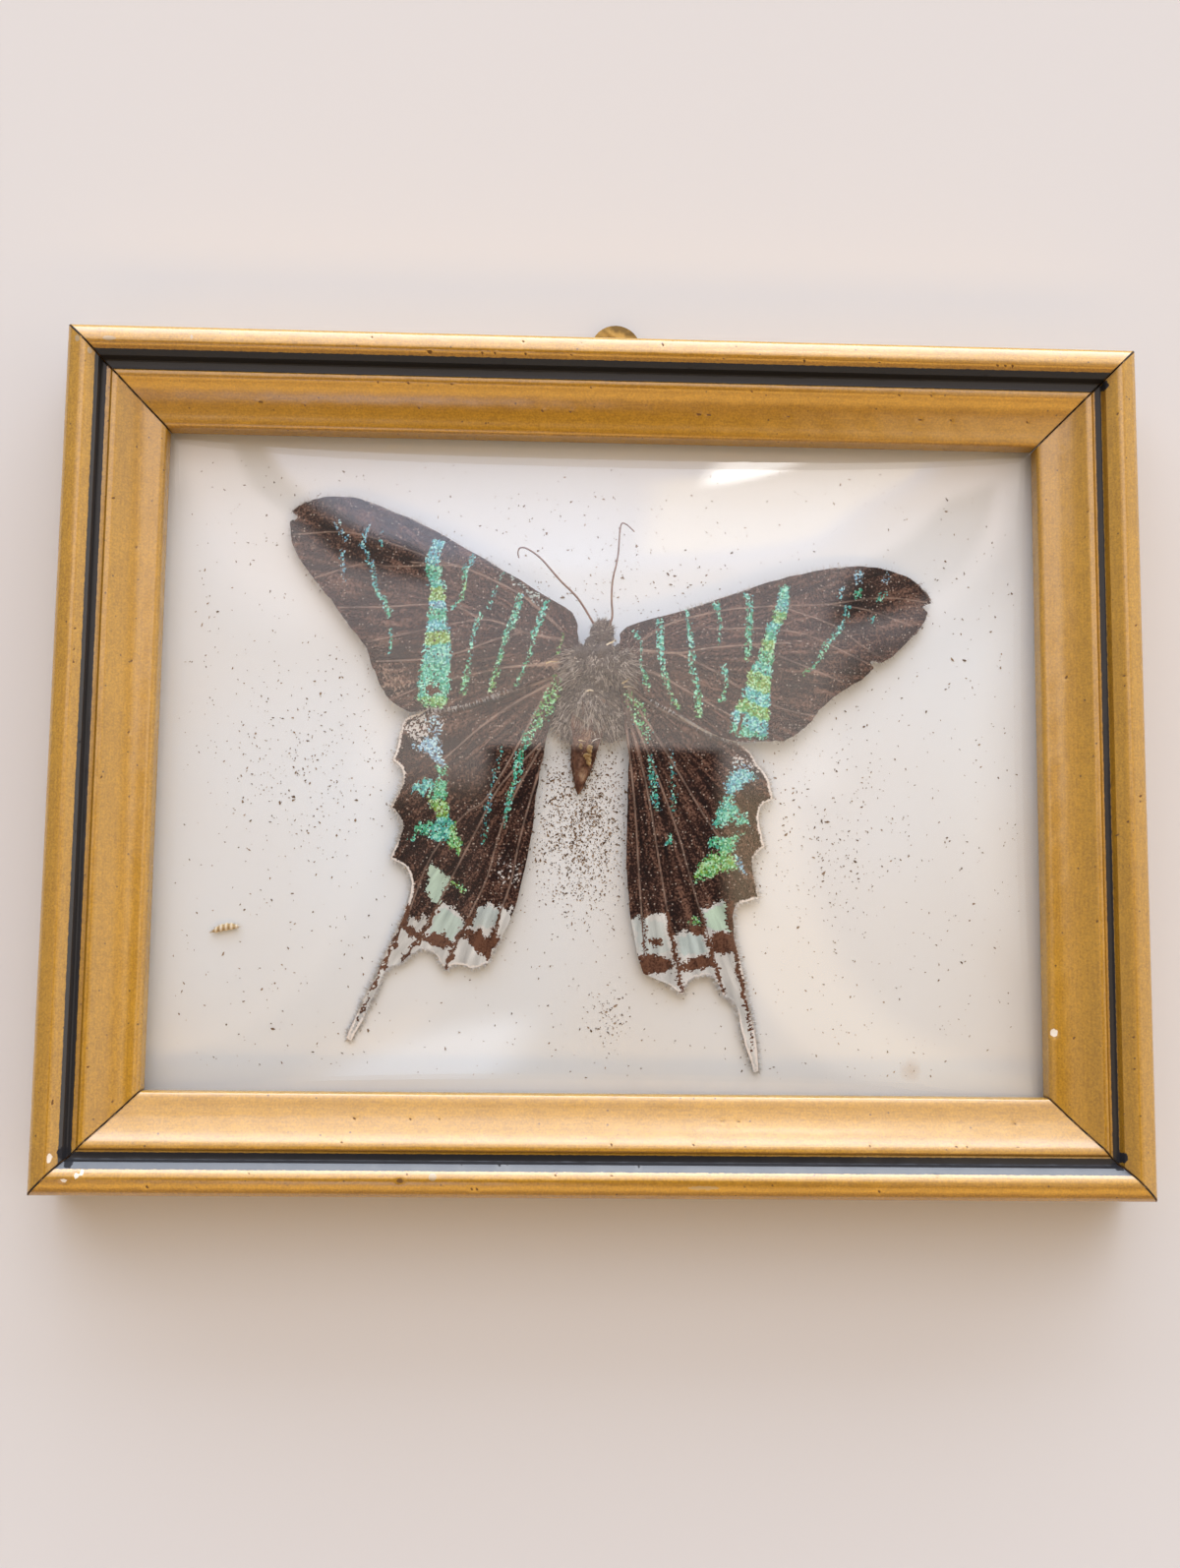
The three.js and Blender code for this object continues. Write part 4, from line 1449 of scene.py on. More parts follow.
HINDWING_LEFT = Wing(
    "hindwing_left",
    stretches=(
        ((-3.9, 9.8), (-3.3, 11.5), (-13.2, 9.6)),
        ((-19.0, 8.4), (-21.1, 5.6), (-23.1, 4.7), (-23.7, 3.5), (-24.1, 1.4), (-24.6, -0.3)),
        ((-23.6, -1.3), (-23.4, -2.8), (-24.8, -5.8)),
        ((-23.8, -6.9), (-23.4, -8.4), (-24.7, -11.8)),
        (
            *((-22.6, -13.1), (-22.2, -15.2), (-22.7, -17.6), (-23.8, -20.1)),
            *((-25.7, -24.3), (-27.5, -28.3), (-29.4, -32.7)),
        ),
        ((-28.8, -33.0),),
        ((-27.1, -29.8), (-25.9, -27.2), (-24.6, -24.7), (-23.2, -24.2)),
        ((-22.0, -23.1), (-20.6, -22.4), (-19.2, -23.0), (-17.9, -24.8)),
        ((-16.9, -24.1), (-14.6, -24.4), (-13.1, -23.9)),
        (
            *((-12.0, -21.8), (-10.4, -18.5), (-9.2, -14.2), (-8.1, -8.3), (-7.6, -2.9)),
            *((-6.8, 1.2), (-5.6, 6.2)),
        ),
    ),
    veins=(
        ((-5.2, 10.2), (-9.0, 8.6), (-13.5, 7.3), (-16.8, 6.2), (-20.6, 4.9)),
        ((-6.0, 9.2), (-10.2, 6.8), (-13.5, 4.5), (-16.7, 1.7), (-19.5, -0.9)),
        ((-6.2, 9.1), (-10.3, 1.0), (-13.7, -4.8), (-16.1, -6.6), (-19.8, -11.3), (-22.3, -17.9)),
        ((-7.3, 1.9), (-12.0, -3.2), (-14.3, -7.7), (-16.4, -11.9), (-18.3, -15.7), (-20.5, -19.9), (-23.1, -24.0)),
        ((-7.3, 1.3), (-10.5, -4.7), (-12.2, -9.5), (-13.3, -13.9), (-15.3, -18.4), (-18.1, -24.8)),
        ((-6.7, 1.0), (-8.7, -5.9), (-9.8, -10.6), (-10.6, -14.8), (-12.0, -18.9), (-13.1, -23.9)),
    ),
    marks=(
        jewel(0.04, (-21.1, 5.3), (-19.3, 4.9), (-19.0, 3.1), (-20.4, 2.7), strength=0.6),
        jewel(
            *(0.08, (-22.4, 1.1), (-21.0, 2.2), (-19.5, 2.9), (-19.0, 0.8), (-18.4, -0.8)),
            *((-19.5, -1.0), (-20.3, 0.4), (-21.2, 1.1)),
            strength=0.95,
        ),
        jewel(0.66, (-19.7, -0.9), (-18.4, -1.0), (-18.2, -1.9), (-19.3, -1.7), strength=0.7),
        jewel(0.4, (-22.4, -3.8), (-20.8, -2.3), (-19.7, -2.5), (-20.0, -3.7), (-21.0, -4.3)),
        jewel(
            *(0.62, (-19.7, -2.5), (-18.3, -2.7), (-18.1, -4.0), (-18.3, -4.7), (-20.3, -4.9)),
            (-20.0, -3.7),
        ),
        jewel(0.88, (-20.4, -4.8), (-18.2, -4.7), (-17.9, -6.6), (-19.1, -7.1), (-19.9, -5.9)),
        jewel(0.46, (-19.2, -6.8), (-17.8, -6.5), (-17.3, -7.7), (-18.4, -10.1), (-20.2, -9.2), (-19.9, -7.8)),
        jewel(
            *(0.6, (-22.6, -9.7), (-21.5, -7.8), (-20.2, -7.3), (-19.9, -7.8), (-20.2, -9.2)),
            (-21.2, -8.8),
            strength=0.8,
        ),
        jewel(0.78, (-18.4, -10.0), (-17.3, -7.5), (-16.3, -10.3), (-16.8, -11.2)),
        pale((-23.3, 3.7), (-22.0, 5.0), (-19.9, 5.6), (-18.6, 4.4), (-20.1, 2.7), (-22.2, 1.7), strength=0.5),
        pale(
            *((-20.4, -13.0), (-19.8, -12.5), (-19.0, -13.3), (-17.7, -14.0), (-18.1, -15.1), (-19.0, -17.1)),
            *((-19.9, -16.5), (-20.5, -15.4), (-20.1, -14.2)),
            hue=0.8,
        ),
        shine(((-17.5, -14.5, 0.7), (-15.9, -15.6, 0.6)), 0.8, strength=0.55),
        pale(
            *((-20.5, -20.8), (-20.0, -19.9), (-19.0, -17.4), (-17.9, -17.5), (-16.4, -18.4), (-15.9, -19.3)),
            *((-16.3, -20.5), (-17.2, -21.3), (-18.9, -21.0)),
            hue=0.6,
        ),
        pale(
            *((-15.3, -19.9), (-14.9, -18.7), (-13.8, -17.3), (-11.6, -17.4), (-11.8, -18.9), (-12.6, -20.1)),
            hue=0.38,
        ),
        pale(
            *((-22.9, -18.6), (-21.7, -18.9), (-20.0, -18.7), (-18.6, -16.8), (-16.2, -18.4), (-15.8, -19.8)),
            *((-14.9, -19.4), (-13.6, -17.1), (-10.3, -17.6), (-11.2, -25.4), (-19.5, -26.4), (-30.2, -33.8)),
            *((-30.2, -32.4), (-25.4, -22.6)),
            hue=0.1,
        ),
        spot((-23.4, -19.8), (-22.9, -19.3), (-20.6, -20.7), (-21.0, -21.4), (-22.4, -20.8)),
        spot((-20.6, -20.8), (-18.4, -20.4), (-17.2, -21.5), (-17.4, -22.3), (-18.4, -22.2), (-20.4, -21.4)),
        spot(
            *((-16.0, -20.4), (-14.4, -20.0), (-12.7, -21.0), (-11.5, -20.6), (-11.8, -21.6), (-13.0, -23.5)),
            *((-14.6, -22.5), (-15.4, -21.3)),
        ),
        dark((-22.5, -17.4, 0.7), (-23.2, -19.6, 0.6), (-24.6, -22.9, 0.45), (-26.8, -27.6, 0.3), (-28.3, -31.2, 0.1)),
        dark((-18.8, -16.9, 0.35), (-20.8, -20.9, 0.4), (-21.8, -21.9, 0.4), (-23.2, -24.2, 0.3)),
        dark((-15.2, -19.0, 0.6), (-16.6, -21.2, 0.5), (-18.0, -24.8, 0.4)),
        dark((-11.6, -17.4, 0.25), (-12.4, -20.6, 0.4), (-13.1, -23.9, 0.35)),
        shine(((-9.5, 1.0, 0.8), (-10.1, -2.0, 0.9), (-10.7, -4.2, 0.6), (-11.3, -7.7, 0.5)), 0.55, 0.5, strength=0.65),
        shine(
            *(((-5.3, 9.8, 1.6), (-6.7, 6.2, 1.8), (-8.4, 3.2, 1.2), (-9.5, 1.0, 0.8)), 0.82, 0.72, 0.55),
            strength=0.42,
        ),
        shine(((-11.7, 1.2, 0.5), (-13.2, -4.5, 0.4), (-13.7, -9.8, 0.6)), 0.4, 0.3, 0.5, strength=0.4),
        pale((-11.9, -11.5), (-9.2, -12.5), (-9.9, -15.6), (-12.2, -14.3), strength=0.18),
    ),
    **HIND_LIE,
    root=(-3.5, 10.5),
    seed=13,
)

HINDWING_RIGHT = Wing(
    "hindwing_right",
    stretches=(
        ((2.6, 5.1), (2.3, 9.6), (10.6, 4.7), (16.4, 2.3), (18.4, 0.0), (19.8, -1.9), (20.3, -4.3)),
        ((18.9, -5.1), (18.7, -7.0), (19.4, -9.9)),
        ((18.1, -11.2), (18.3, -13.4), (18.8, -16.0)),
        ((16.2, -16.8), (15.8, -18.8), (16.2, -21.9), (17.1, -25.8), (18.2, -31.2), (18.8, -36.0)),
        ((18.2, -36.2),),
        ((17.0, -32.2), (16.4, -29.8), (15.9, -28.2), (14.6, -27.4)),
        ((13.3, -25.2), (12.1, -25.1), (10.5, -25.6), (9.7, -27.3)),
        ((8.2, -26.2), (6.7, -25.6), (5.2, -25.0)),
        (
            *((4.6, -23.4), (3.7, -19.0), (3.2, -14.6), (3.0, -9.9), (3.1, -3.5)),
            (3.2, 0.4),
        ),
    ),
    veins=(
        ((2.8, 9.0), (5.7, 6.9), (10.6, 4.4), (16.4, 2.0), (18.3, -0.2), (19.6, -2.0)),
        ((3.1, 8.1), (8.0, 0.5), (11.9, -5.9), (14.5, -9.7), (17.1, -13.5)),
        ((2.8, 7.2), (6.8, -2.4), (9.1, -8.5), (10.1, -12.0), (11.4, -16.4), (12.7, -20.2), (14.6, -27.1)),
        ((2.8, 6.2), (5.2, -2.5), (6.8, -11.4), (7.9, -17.7), (9.7, -27.0)),
        ((2.8, 4.6), (3.9, -5.0), (4.6, -14.6), (5.4, -24.7)),
    ),
    marks=(
        jewel(
            *(0.3, (14.5, -3.2), (15.3, -1.3), (17.1, -0.6), (18.5, -1.9), (17.1, -2.2), (16.1, -3.4)),
            (14.8, -3.7),
        ),
        jewel(0.02, (15.3, 0.3), (17.7, 0.2), (18.0, -0.8), (15.6, -0.8), strength=0.35),
        jewel(
            *(0.5, (13.2, -7.9), (13.6, -6.3), (14.5, -4.1), (15.5, -3.9), (16.3, -5.5), (16.1, -6.4)),
            (14.5, -7.4),
        ),
        jewel(0.5, (16.1, -6.6), (17.1, -5.8), (17.6, -7.2), (16.1, -7.4), strength=0.9),
        jewel(
            *(0.62, (12.5, -9.7), (13.2, -8.7), (14.9, -8.9), (16.8, -8.3), (15.8, -9.3), (15.7, -10.6)),
            *((14.5, -10.9), (13.2, -10.0)),
        ),
        jewel(
            *(0.8, (10.9, -13.7), (11.5, -12.1), (13.3, -10.6), (14.5, -10.3), (15.8, -10.9), (16.2, -12.5)),
            *((14.2, -13.0), (12.3, -13.8), (11.2, -14.2)),
        ),
        jewel(0.2, (15.7, -11.1), (16.2, -10.9), (17.1, -13.3), (16.2, -12.7), strength=0.8),
        pale((15.1, 0.6), (16.9, 0.8), (18.5, 0.2), (18.9, -1.2), (17.9, -0.6), (15.2, 0.0), strength=0.42),
        pale(
            *((11.9, -17.7), (13.6, -16.8), (14.7, -16.3), (14.9, -18.0), (15.2, -20.0), (13.6, -20.0)),
            (12.4, -19.6),
            hue=0.85,
        ),
        jewel(0.76, (10.4, -18.8), (11.3, -18.1), (12.0, -19.1), (11.0, -19.4), strength=0.8),
        pale(
            *((3.7, -18.5), (4.8, -18.3), (7.7, -18.7), (8.0, -21.1), (8.5, -22.3), (6.7, -22.9), (4.8, -22.8)),
            (4.0, -20.6),
            hue=0.3,
        ),
        pale((8.8, -20.5), (10.3, -20.0), (12.3, -20.2), (12.8, -22.6), (10.8, -22.9), (9.4, -22.9), hue=0.45),
        pale(
            *((3.5, -18.6), (5.1, -18.3), (7.7, -17.8), (8.6, -20.3), (10.0, -19.9), (12.1, -20.1), (11.9, -17.5)),
            *((14.6, -16.2), (15.2, -20.0), (16.6, -23.0), (18.9, -31.0), (18.9, -36.6), (17.2, -36.6)),
            *((14.6, -28.4), (9.3, -28.4), (4.2, -26.2)),
            hue=0.1,
        ),
        spot((5.8, -21.1), (6.6, -20.7), (7.4, -21.0), (7.3, -21.6), (6.4, -21.7)),
        spot((4.3, -22.9), (5.9, -22.6), (8.5, -23.2), (8.5, -24.2), (7.5, -24.8), (5.7, -24.9), (4.9, -25.0)),
        spot((9.7, -23.7), (10.7, -23.0), (12.3, -22.7), (13.6, -23.1), (13.4, -23.8), (11.0, -24.6), (9.8, -24.6)),
        spot((12.9, -21.1), (13.5, -19.9), (15.0, -20.0), (15.9, -21.0), (15.9, -22.3), (14.5, -22.5), (13.2, -22.2)),
        spot((10.4, -19.7), (11.1, -19.2), (12.1, -19.6), (12.0, -20.2), (11.1, -20.3)),
        dark((15.3, -16.8, 0.9), (15.7, -20.5, 0.7), (16.3, -24.2, 0.55), (17.5, -29.4, 0.4), (18.1, -33.8, 0.1)),
        dark((7.8, -17.9, 0.5), (8.6, -21.4, 0.5), (9.2, -24.0, 0.5), (9.7, -27.1, 0.35)),
        dark((11.8, -17.6, 0.35), (12.7, -21.1, 0.4), (13.6, -24.0, 0.45), (14.6, -27.1, 0.35)),
        dark((5.1, -18.4, 0.25), (5.4, -22.6, 0.25)),
        shine(((5.6, 0.8, 0.5), (6.0, -1.8, 0.8), (6.5, -5.7, 0.6)), 0.45, strength=0.6),
        shine(((8.2, 1.5, 0.4), (8.6, -5.6, 0.6)), 0.35, 0.5, strength=0.4),
        shine(((8.0, -9.0, 0.9), (8.0, -9.6, 0.8)), 0.5, strength=0.55),
        shine(((3.2, 7.8, 1.2), (4.4, 5.4, 1.8), (5.3, 2.8, 1.0)), 0.8, 0.65, strength=0.4),
    ),
    **HIND_LIE,
    root=(2.0, 9.5),
    seed=14,
)


@dataclass
class Strands:
    """Loose hair: bent ribbons that thin out to a point, joined into one mesh."""

    seed: int
    tones: Point = (0.05, 0.95)
    roots: list[np.ndarray] = field(default_factory=list)
    ways: list[np.ndarray] = field(default_factory=list)
    widths: list[np.ndarray] = field(default_factory=list)

    def add(self, roots: np.ndarray, ways: np.ndarray, width: float) -> None:
        """Adds strands.

        Args:
            roots: Where they start.
            ways: From start to tip.
            width: Width at the root.
        """
        self.roots.append(roots)
        self.ways.append(ways)
        self.widths.append(np.full(len(roots), width))

    def build(self, name: str) -> Piece:
        """Makes the mesh, with a tone kept for each strand.

        Args:
            name: The object's name.

        Returns:
            The strands as one object.
        """
        rng = np.random.default_rng(self.seed)
        roots, ways, widths = np.vstack(self.roots), np.vstack(self.ways), np.concatenate(self.widths)
        count = len(roots)
        side = np.cross(ways, rng.normal(0, 1, (count, 3)))
        side *= (widths / np.maximum(np.linalg.norm(side, axis=1), 1e-6) / 2)[:, None]
        bent = roots + ways * 0.5 + rng.normal(0, 0.08, (count, 3)) * np.linalg.norm(ways, axis=1)[:, None]
        tips = roots + ways
        places = np.stack((roots - side, roots + side, bent + side * 0.7, bent - side * 0.7, tips), axis=1)
        faces = []
        for first in range(0, count * 5, 5):
            faces += [(first, first + 1, first + 2, first + 3), (first + 3, first + 2, first + 4)]
        hair = mesh_from(name, places.reshape(-1, 3) + MIDDLE, faces)
        keep_values(hair, "tone", np.repeat(rng.uniform(*self.tones, count), 5))
        return hair


@dataclass
class MothBody:
    """Head, thorax, abdomen and feelers, all under dull hair that runs on between the hindwings."""

    def blob(self, name: str, centre: Place, radii: Place, tone: float, rough: float = 0.03) -> Piece:
        """Makes a lumpy round body part.

        Args:
            name: The object's name.
            centre: Its middle, over the card's face.
            radii: Its half sizes.
            tone: How pale it is.
            rough: How lumpy it is.

        Returns:
            The object.
        """
        blob = started(name, bpy.ops.mesh.primitive_uv_sphere_add, segments=48, ring_count=32, radius=1)
        unit = corners(blob) * MM
        rng = np.random.default_rng(len(name))
        lumps = waves(rng, unit, rough, 4, 6)
        places = unit * (1 + lumps)[:, None] * np.array(radii) + np.array(centre)
        places[:, 2] = np.maximum(places[:, 2], 0.06)
        set_corners(blob, places + MIDDLE + (0, 0, CARD_FACE))
        keep_values(blob, "tone", np.full(len(unit), tone))
        smooth(blob, 60)
        return blob

    def coat(self, centre: Place, radii: Place, hairs: int, way: Place, long: float = 1.0) -> Strands:
        """Grows hair on the upper side of a round part.

        Args:
            centre: The part's middle, over the card's face.
            radii: Its half sizes.
            hairs: Number of hairs.
            way: The lie of the hair.
            long: Length of the longer hairs.

        Returns:
            The hair.
        """
        rng = np.random.default_rng(hairs)
        outward = upward(rng, hairs)
        roots = outward * np.array(radii) * 0.97 + np.array(centre) + (0, 0, CARD_FACE)
        lie = outward * (0.4, 0.4, 0.15) + np.array(way) + rng.normal(0, 0.3, (hairs, 3)) * (1, 1, 0.4)
        hair = Strands(hairs)
        hair.add(roots, lie * rng.uniform(0.4, long, (hairs, 1)), 0.08)
        return hair

    def head(self) -> None:
        """Makes the small grizzled head."""
        centre, radii = (-0.1, 15.0, 2.0), (1.35, 1.7, 1.3)
        skin = self.blob("skin_head", centre, radii, 0.35)
        hair = self.coat(centre, radii, 900, (0.0, 0.2, 0.05), 0.8).build("hair_head")
        whole = joined("furred_head", skin, hair)
        hand_over(whole, (FUR,), ("head",))

    def thorax(self, loose: int = 170) -> None:
        """Makes the hairy thorax, its shoulders and the mantle of hair behind it, littered with scales.

        Args:
            loose: Number of loose scales on each lobe.
        """
        lobes = (
            ((-0.5, 11.6, 1.9), (2.5, 2.9, 1.7), 2000, (0.0, -0.4, 0.0), 0.9),
            ((-3.2, 11.4, 1.8), (1.7, 2.6, 1.3), 1500, (-0.7, -0.4, 0.0), 1.3),
            ((2.4, 11.2, 1.8), (1.6, 2.5, 1.3), 1500, (0.7, -0.4, 0.0), 1.3),
            ((-3.8, 6.2, 0.6), (2.3, 3.7, 1.2), 1900, (-0.3, -0.6, 0.0), 1.1),
            ((0.9, 6.1, 0.6), (2.2, 3.5, 1.2), 1900, (0.3, -0.6, 0.0), 1.1),
            ((-1.4, 7.0, 1.5), (2.3, 3.4, 1.3), 2200, (0.0, -0.8, 0.0), 1.2),
        )
        rng = np.random.default_rng(21)
        parts = []
        litter = Strands(22, (0.7, 1.15))
        for number, (centre, radii, hairs, way, long) in enumerate(lobes):
            parts.append(self.blob(f"skin_thorax_{number}", centre, radii, 0.3, 0.05))
            parts.append(self.coat(centre, radii, hairs, way, long).build(f"hair_thorax_{number}"))
            roots = upward(rng, loose) * (np.array(radii) + 0.12) + centre + (0, 0, CARD_FACE)
            litter.add(roots, rng.normal(0, 0.16, (loose, 3)) * (1, 1, 0.2), 0.14)
        whole = joined("furred_thorax", *parts, litter.build("scale_litter"))
        hand_over(whole, (FUR,), ("thorax",))

    def abdomen(self, front: Point = (-1.2, 8.4), tip: Point = (-2.75, -4.0), radius: float = 2.2) -> None:
        """Makes the dried, sunken abdomen.

        Args:
            front: Where it meets the thorax.
            tip: Its end.
            radius: Its greatest half width.
        """
        ball = bpy.ops.mesh.primitive_uv_sphere_add
        skin = started("skin_abdomen", ball, segments=56, ring_count=72, radius=1)
        unit = corners(skin) * MM
        share = (1 - unit[:, 2]) / 2
        around = np.arctan2(unit[:, 1], unit[:, 0])
        girth = radius * np.interp(
            share, (0, 0.1, 0.3, 0.55, 0.75, 0.92, 1), (0.3, 0.8, 0.9, 0.62, 0.48, 0.25, 0.04)
        )
        rng = np.random.default_rng(5)
        crumple = waves(rng, unit, 0.07, 6, 6)
        rings = 1 + 0.03 * np.abs(np.sin(share * 9 * math.pi + crumple * 6)) + crumple
        start, end = np.array(front), np.array(tip)
        along = start + share[:, None] * (end - start)
        flat = np.column_stack(
            (
                along[:, 0] + np.cos(around) * girth * rings,
                along[:, 1],
                CARD_FACE + 1.6 - 0.8 * share + np.sin(around) * girth * rings * 0.62,
            )
        )
        set_corners(skin, flat + MIDDLE)
        mottle = waves(rng, flat, 0.09, 2.6, 8)
        keep_values(skin, "tone", 0.5 + mottle - 0.25 * share)
        smooth(skin, 60)
        count = 1600
        pick = rng.choice(np.flatnonzero(share < 0.8), count)
        hair = Strands(8)
        hair.add(flat[pick], rng.normal(0, 0.26, (count, 3)) * (1, 1, 0.4) + (-0.02, -0.3, 0.03), 0.08)
        whole = joined("dried_abdomen", skin, hair.build("hair_abdomen"))
        hand_over(whole, (CHITIN,), ("abdomen",))

    def crumbs(self) -> None:
        """Leaves the crumbs and straws that stick to the body."""
        lumps = (
            ((-1.5, 1.3, 2.0), (0.28, 0.36, 0.25), 0.15),
            ((-1.8, 0.4, 1.9), (0.4, 0.28, 0.25), 0.05),
            ((-1.55, -0.2, 1.8), (0.22, 0.3, 0.2), 0.2),
            ((-2.5, 1.6, 1.9), (0.2, 0.28, 0.2), -0.05),
            ((-1.5, 8.0, 2.75), (0.4, 0.2, 0.2), 0.8),
        )
        parts = [self.blob(f"crumb_{n}", spot, size, tone, 0.2) for n, (spot, size, tone) in enumerate(lumps)]
        straws = Strands(3)
        roots = np.array(
            (
                *((-3.3, 5.2, 2.4), (-3.4, 5.3, 2.45), (-2.8, 2.3, 2.2), (-1.2, 2.2, 2.2), (2.2, 9.0, 3.0)),
                *((2.4, 8.6, 3.0), (2.7, 12.4, 3.2), (0.3, 13.5, 3.4), (0.6, 13.7, 3.4), (-6.8, 11.3, 2.75)),
            )
        )
        ways = np.array(
            (
                *((2.2, -1.2, 0.3), (2.0, -1.3, 0.2), (1.0, -0.2, 0.1), (1.1, 0.4, 0.1), (1.2, 0.9, 0.0)),
                *((1.5, -0.2, 0.0), (1.0, -0.5, 0.0), (0.9, 0.3, 0.0), (0.9, 0.5, 0.0), (1.9, 0.2, 0.0)),
            )
        )
        straws.add(roots + (0, 0, CARD_FACE), ways, 0.22)
        whole = joined("body_crumbs", *parts, straws.build("straws"))
        hand_over(whole, (HUSK,))

    def feeler(self, side: str, points: Line, thick: float = 0.13) -> None:
        """Draws a feeler as a tapering thread.

        Args:
            side: Left or right.
            points: Its course, with the height over the card.
            thick: Its half width at the root.
        """
        data = bpy.data.curves.new(f"feeler_{side}", "CURVE")
        data.dimensions, data.bevel_depth, data.bevel_resolution, data.use_fill_caps = "3D", thick * MM, 3, True
        course = curve_through(points, 6) + MIDDLE + (0, 0, CARD_FACE)
        thread = data.splines.new("POLY")
        thread.points.add(len(course) - 1)
        for number, (knot, place) in enumerate(zip(thread.points, course)):
            knot.co = (*(place * MM), 1)
            knot.radius = 1 - 0.45 * number / len(course) + 0.1 * (number % 2)
        feeler = bpy.data.objects.new(f"feeler_{side}", data)
        bpy.context.collection.objects.link(feeler)
        choose(feeler)
        bpy.ops.object.convert(target="MESH")
        feeler = bpy.context.active_object
        keep_values(feeler, "tone", np.full(len(feeler.data.vertices), 0.62))
        smooth(feeler, 60)
        hand_over(feeler, (CHITIN,), (f"antenna_{side}",))

    def build(self) -> None:
        """Makes the body from head to tail."""
        self.head()
        self.thorax()
        self.abdomen()
        self.crumbs()
        self.feeler(
            "left",
            (
                *((-1.2, 16.2, 2.6), (-3.1, 19.1, 2.9), (-5.3, 21.3, 2.9), (-7.5, 23.8, 2.8), (-9.1, 25.0, 2.6)),
                *((-10.0, 25.2, 2.5), (-10.3, 24.7, 2.4), (-10.2, 24.0, 2.3)),
            ),
        )
        self.feeler(
            "right",
            (
                *((0.7, 16.0, 2.6), (1.0, 17.1, 2.8), (0.9, 19.1, 2.9), (1.0, 21.4, 2.9), (1.6, 24.3, 2.7)),
                *((1.9, 28.0, 2.4), (2.5, 28.4, 2.3), (3.6, 27.5, 2.2)),
            ),
        )


@dataclass
class Debris:
    """What has fallen on the card: shed scales and a cast larval skin."""

    seed: int = 7

    def dust(self) -> None:
        """Scatters shed scales, in clumps and thickest behind the abdomen."""
        rng = np.random.default_rng(self.seed)
        clumps = rng.normal((-2.0, -6.0), (2.6, 5.0), (300, 2))
        drifts = (
            clumps[rng.integers(0, 300, 900)] + rng.normal(0, 0.6, (900, 2)),
            rng.normal((-2.2, -7.0), (3.2, 5.5), (1800, 2)),
            rng.normal((1.3, -30.2), (1.4, 1.9), (110, 2)),
            rng.normal((-34.0, 0.0), (5.5, 6.5), (330, 2)),
            rng.normal((27.0, -8.0), (5.0, 7.5), (320, 2)),
            rng.normal((0.0, 21.0), (9.0, 5.0), (220, 2)),
            rng.uniform((-50, -37), (50, 36), (1900, 2)),
        )
        spots = np.vstack(drifts)
        spots = spots[(np.abs(spots[:, 0]) < 51) & (np.abs(spots[:, 1]) < 37.5)]
        count = len(spots)
        sizes = np.clip(rng.lognormal(-2.65, 0.4, count), 0.04, 0.2)
        turns = rng.uniform(0, math.pi, count)
        places, faces = [], []
        for number, ((x, y), size, turn) in enumerate(zip(spots, sizes, turns)):
            ways = np.array((0, 1.1, 2.2, 3.3, 4.6)) + rng.normal(0, 0.2, 5)
            long, wide = size * rng.uniform(0.5, 1.3, (2, 5)) * ((1.5,), (0.75,)) * (np.cos(ways), np.sin(ways))
            lean, tilt = math.cos(turn), math.sin(turn)
            lifts = CARD_FACE + 0.015 + rng.uniform(0, 0.05, 5)
            places.append(np.column_stack((x + long * lean - wide * tilt, y + long * tilt + wide * lean, lifts)))
            faces.append(range(number * 5, number * 5 + 5))
        flakes = mesh_from("shed_scales", np.vstack(places) + MIDDLE, faces)
        keep_values(flakes, "tone", np.repeat(rng.uniform(0.0, 0.8, count), 5))
        hand_over(flakes, (DUST,))

    def husk(self, spot: Point = (-43.7, -20.1), length: float = 1.5) -> None:
        """Lays the cast skin of a larva on the card.

        Args:
            spot: Where it lies.
            length: Its half length.
        """
        husk = started("cast_skin", bpy.ops.mesh.primitive_uv_sphere_add, segments=24, ring_count=40, radius=1)
        unit = corners(husk) * MM
        rings = 1 + 0.15 * np.sin(unit[:, 2] * 16)
        bow = 0.25 * unit[:, 2] ** 2
        flat = np.column_stack(
            (
                spot[0] + unit[:, 2] * length,
                spot[1] + unit[:, 1] * 0.42 * rings - bow + 0.3 * unit[:, 2],
                CARD_FACE + 0.36 + unit[:, 0] * 0.34 * rings,
            )
        )
        set_corners(husk, flat + MIDDLE)
        keep_values(husk, "tone", 0.5 + 0.45 * np.sin(unit[:, 2] * 16))
        smooth(husk, 60)
        rng = np.random.default_rng(self.seed)
        pick = rng.choice(np.flatnonzero(np.abs(unit[:, 2]) > 0.4), 90)
        bristles = Strands(self.seed)
        outward = flat[pick] - (spot[0], spot[1], CARD_FACE + 0.3)
        bristles.add(flat[pick], outward * 0.3 + np.abs(rng.normal(0, 0.15, (90, 3))), 0.03)
        hand_over(joined(husk.name, husk, bristles.build("bristles")), (HUSK,))

    def build(self) -> None:
        """Drops the dust and the husk."""
        self.dust()
        self.husk()


@dataclass(frozen=True)
class Window:
    """A part of the room, by its lean from overhead to the far side and its reach to either side."""

    lean: Point
    side: Point
    soft: Point
    glow: float
    tint: str


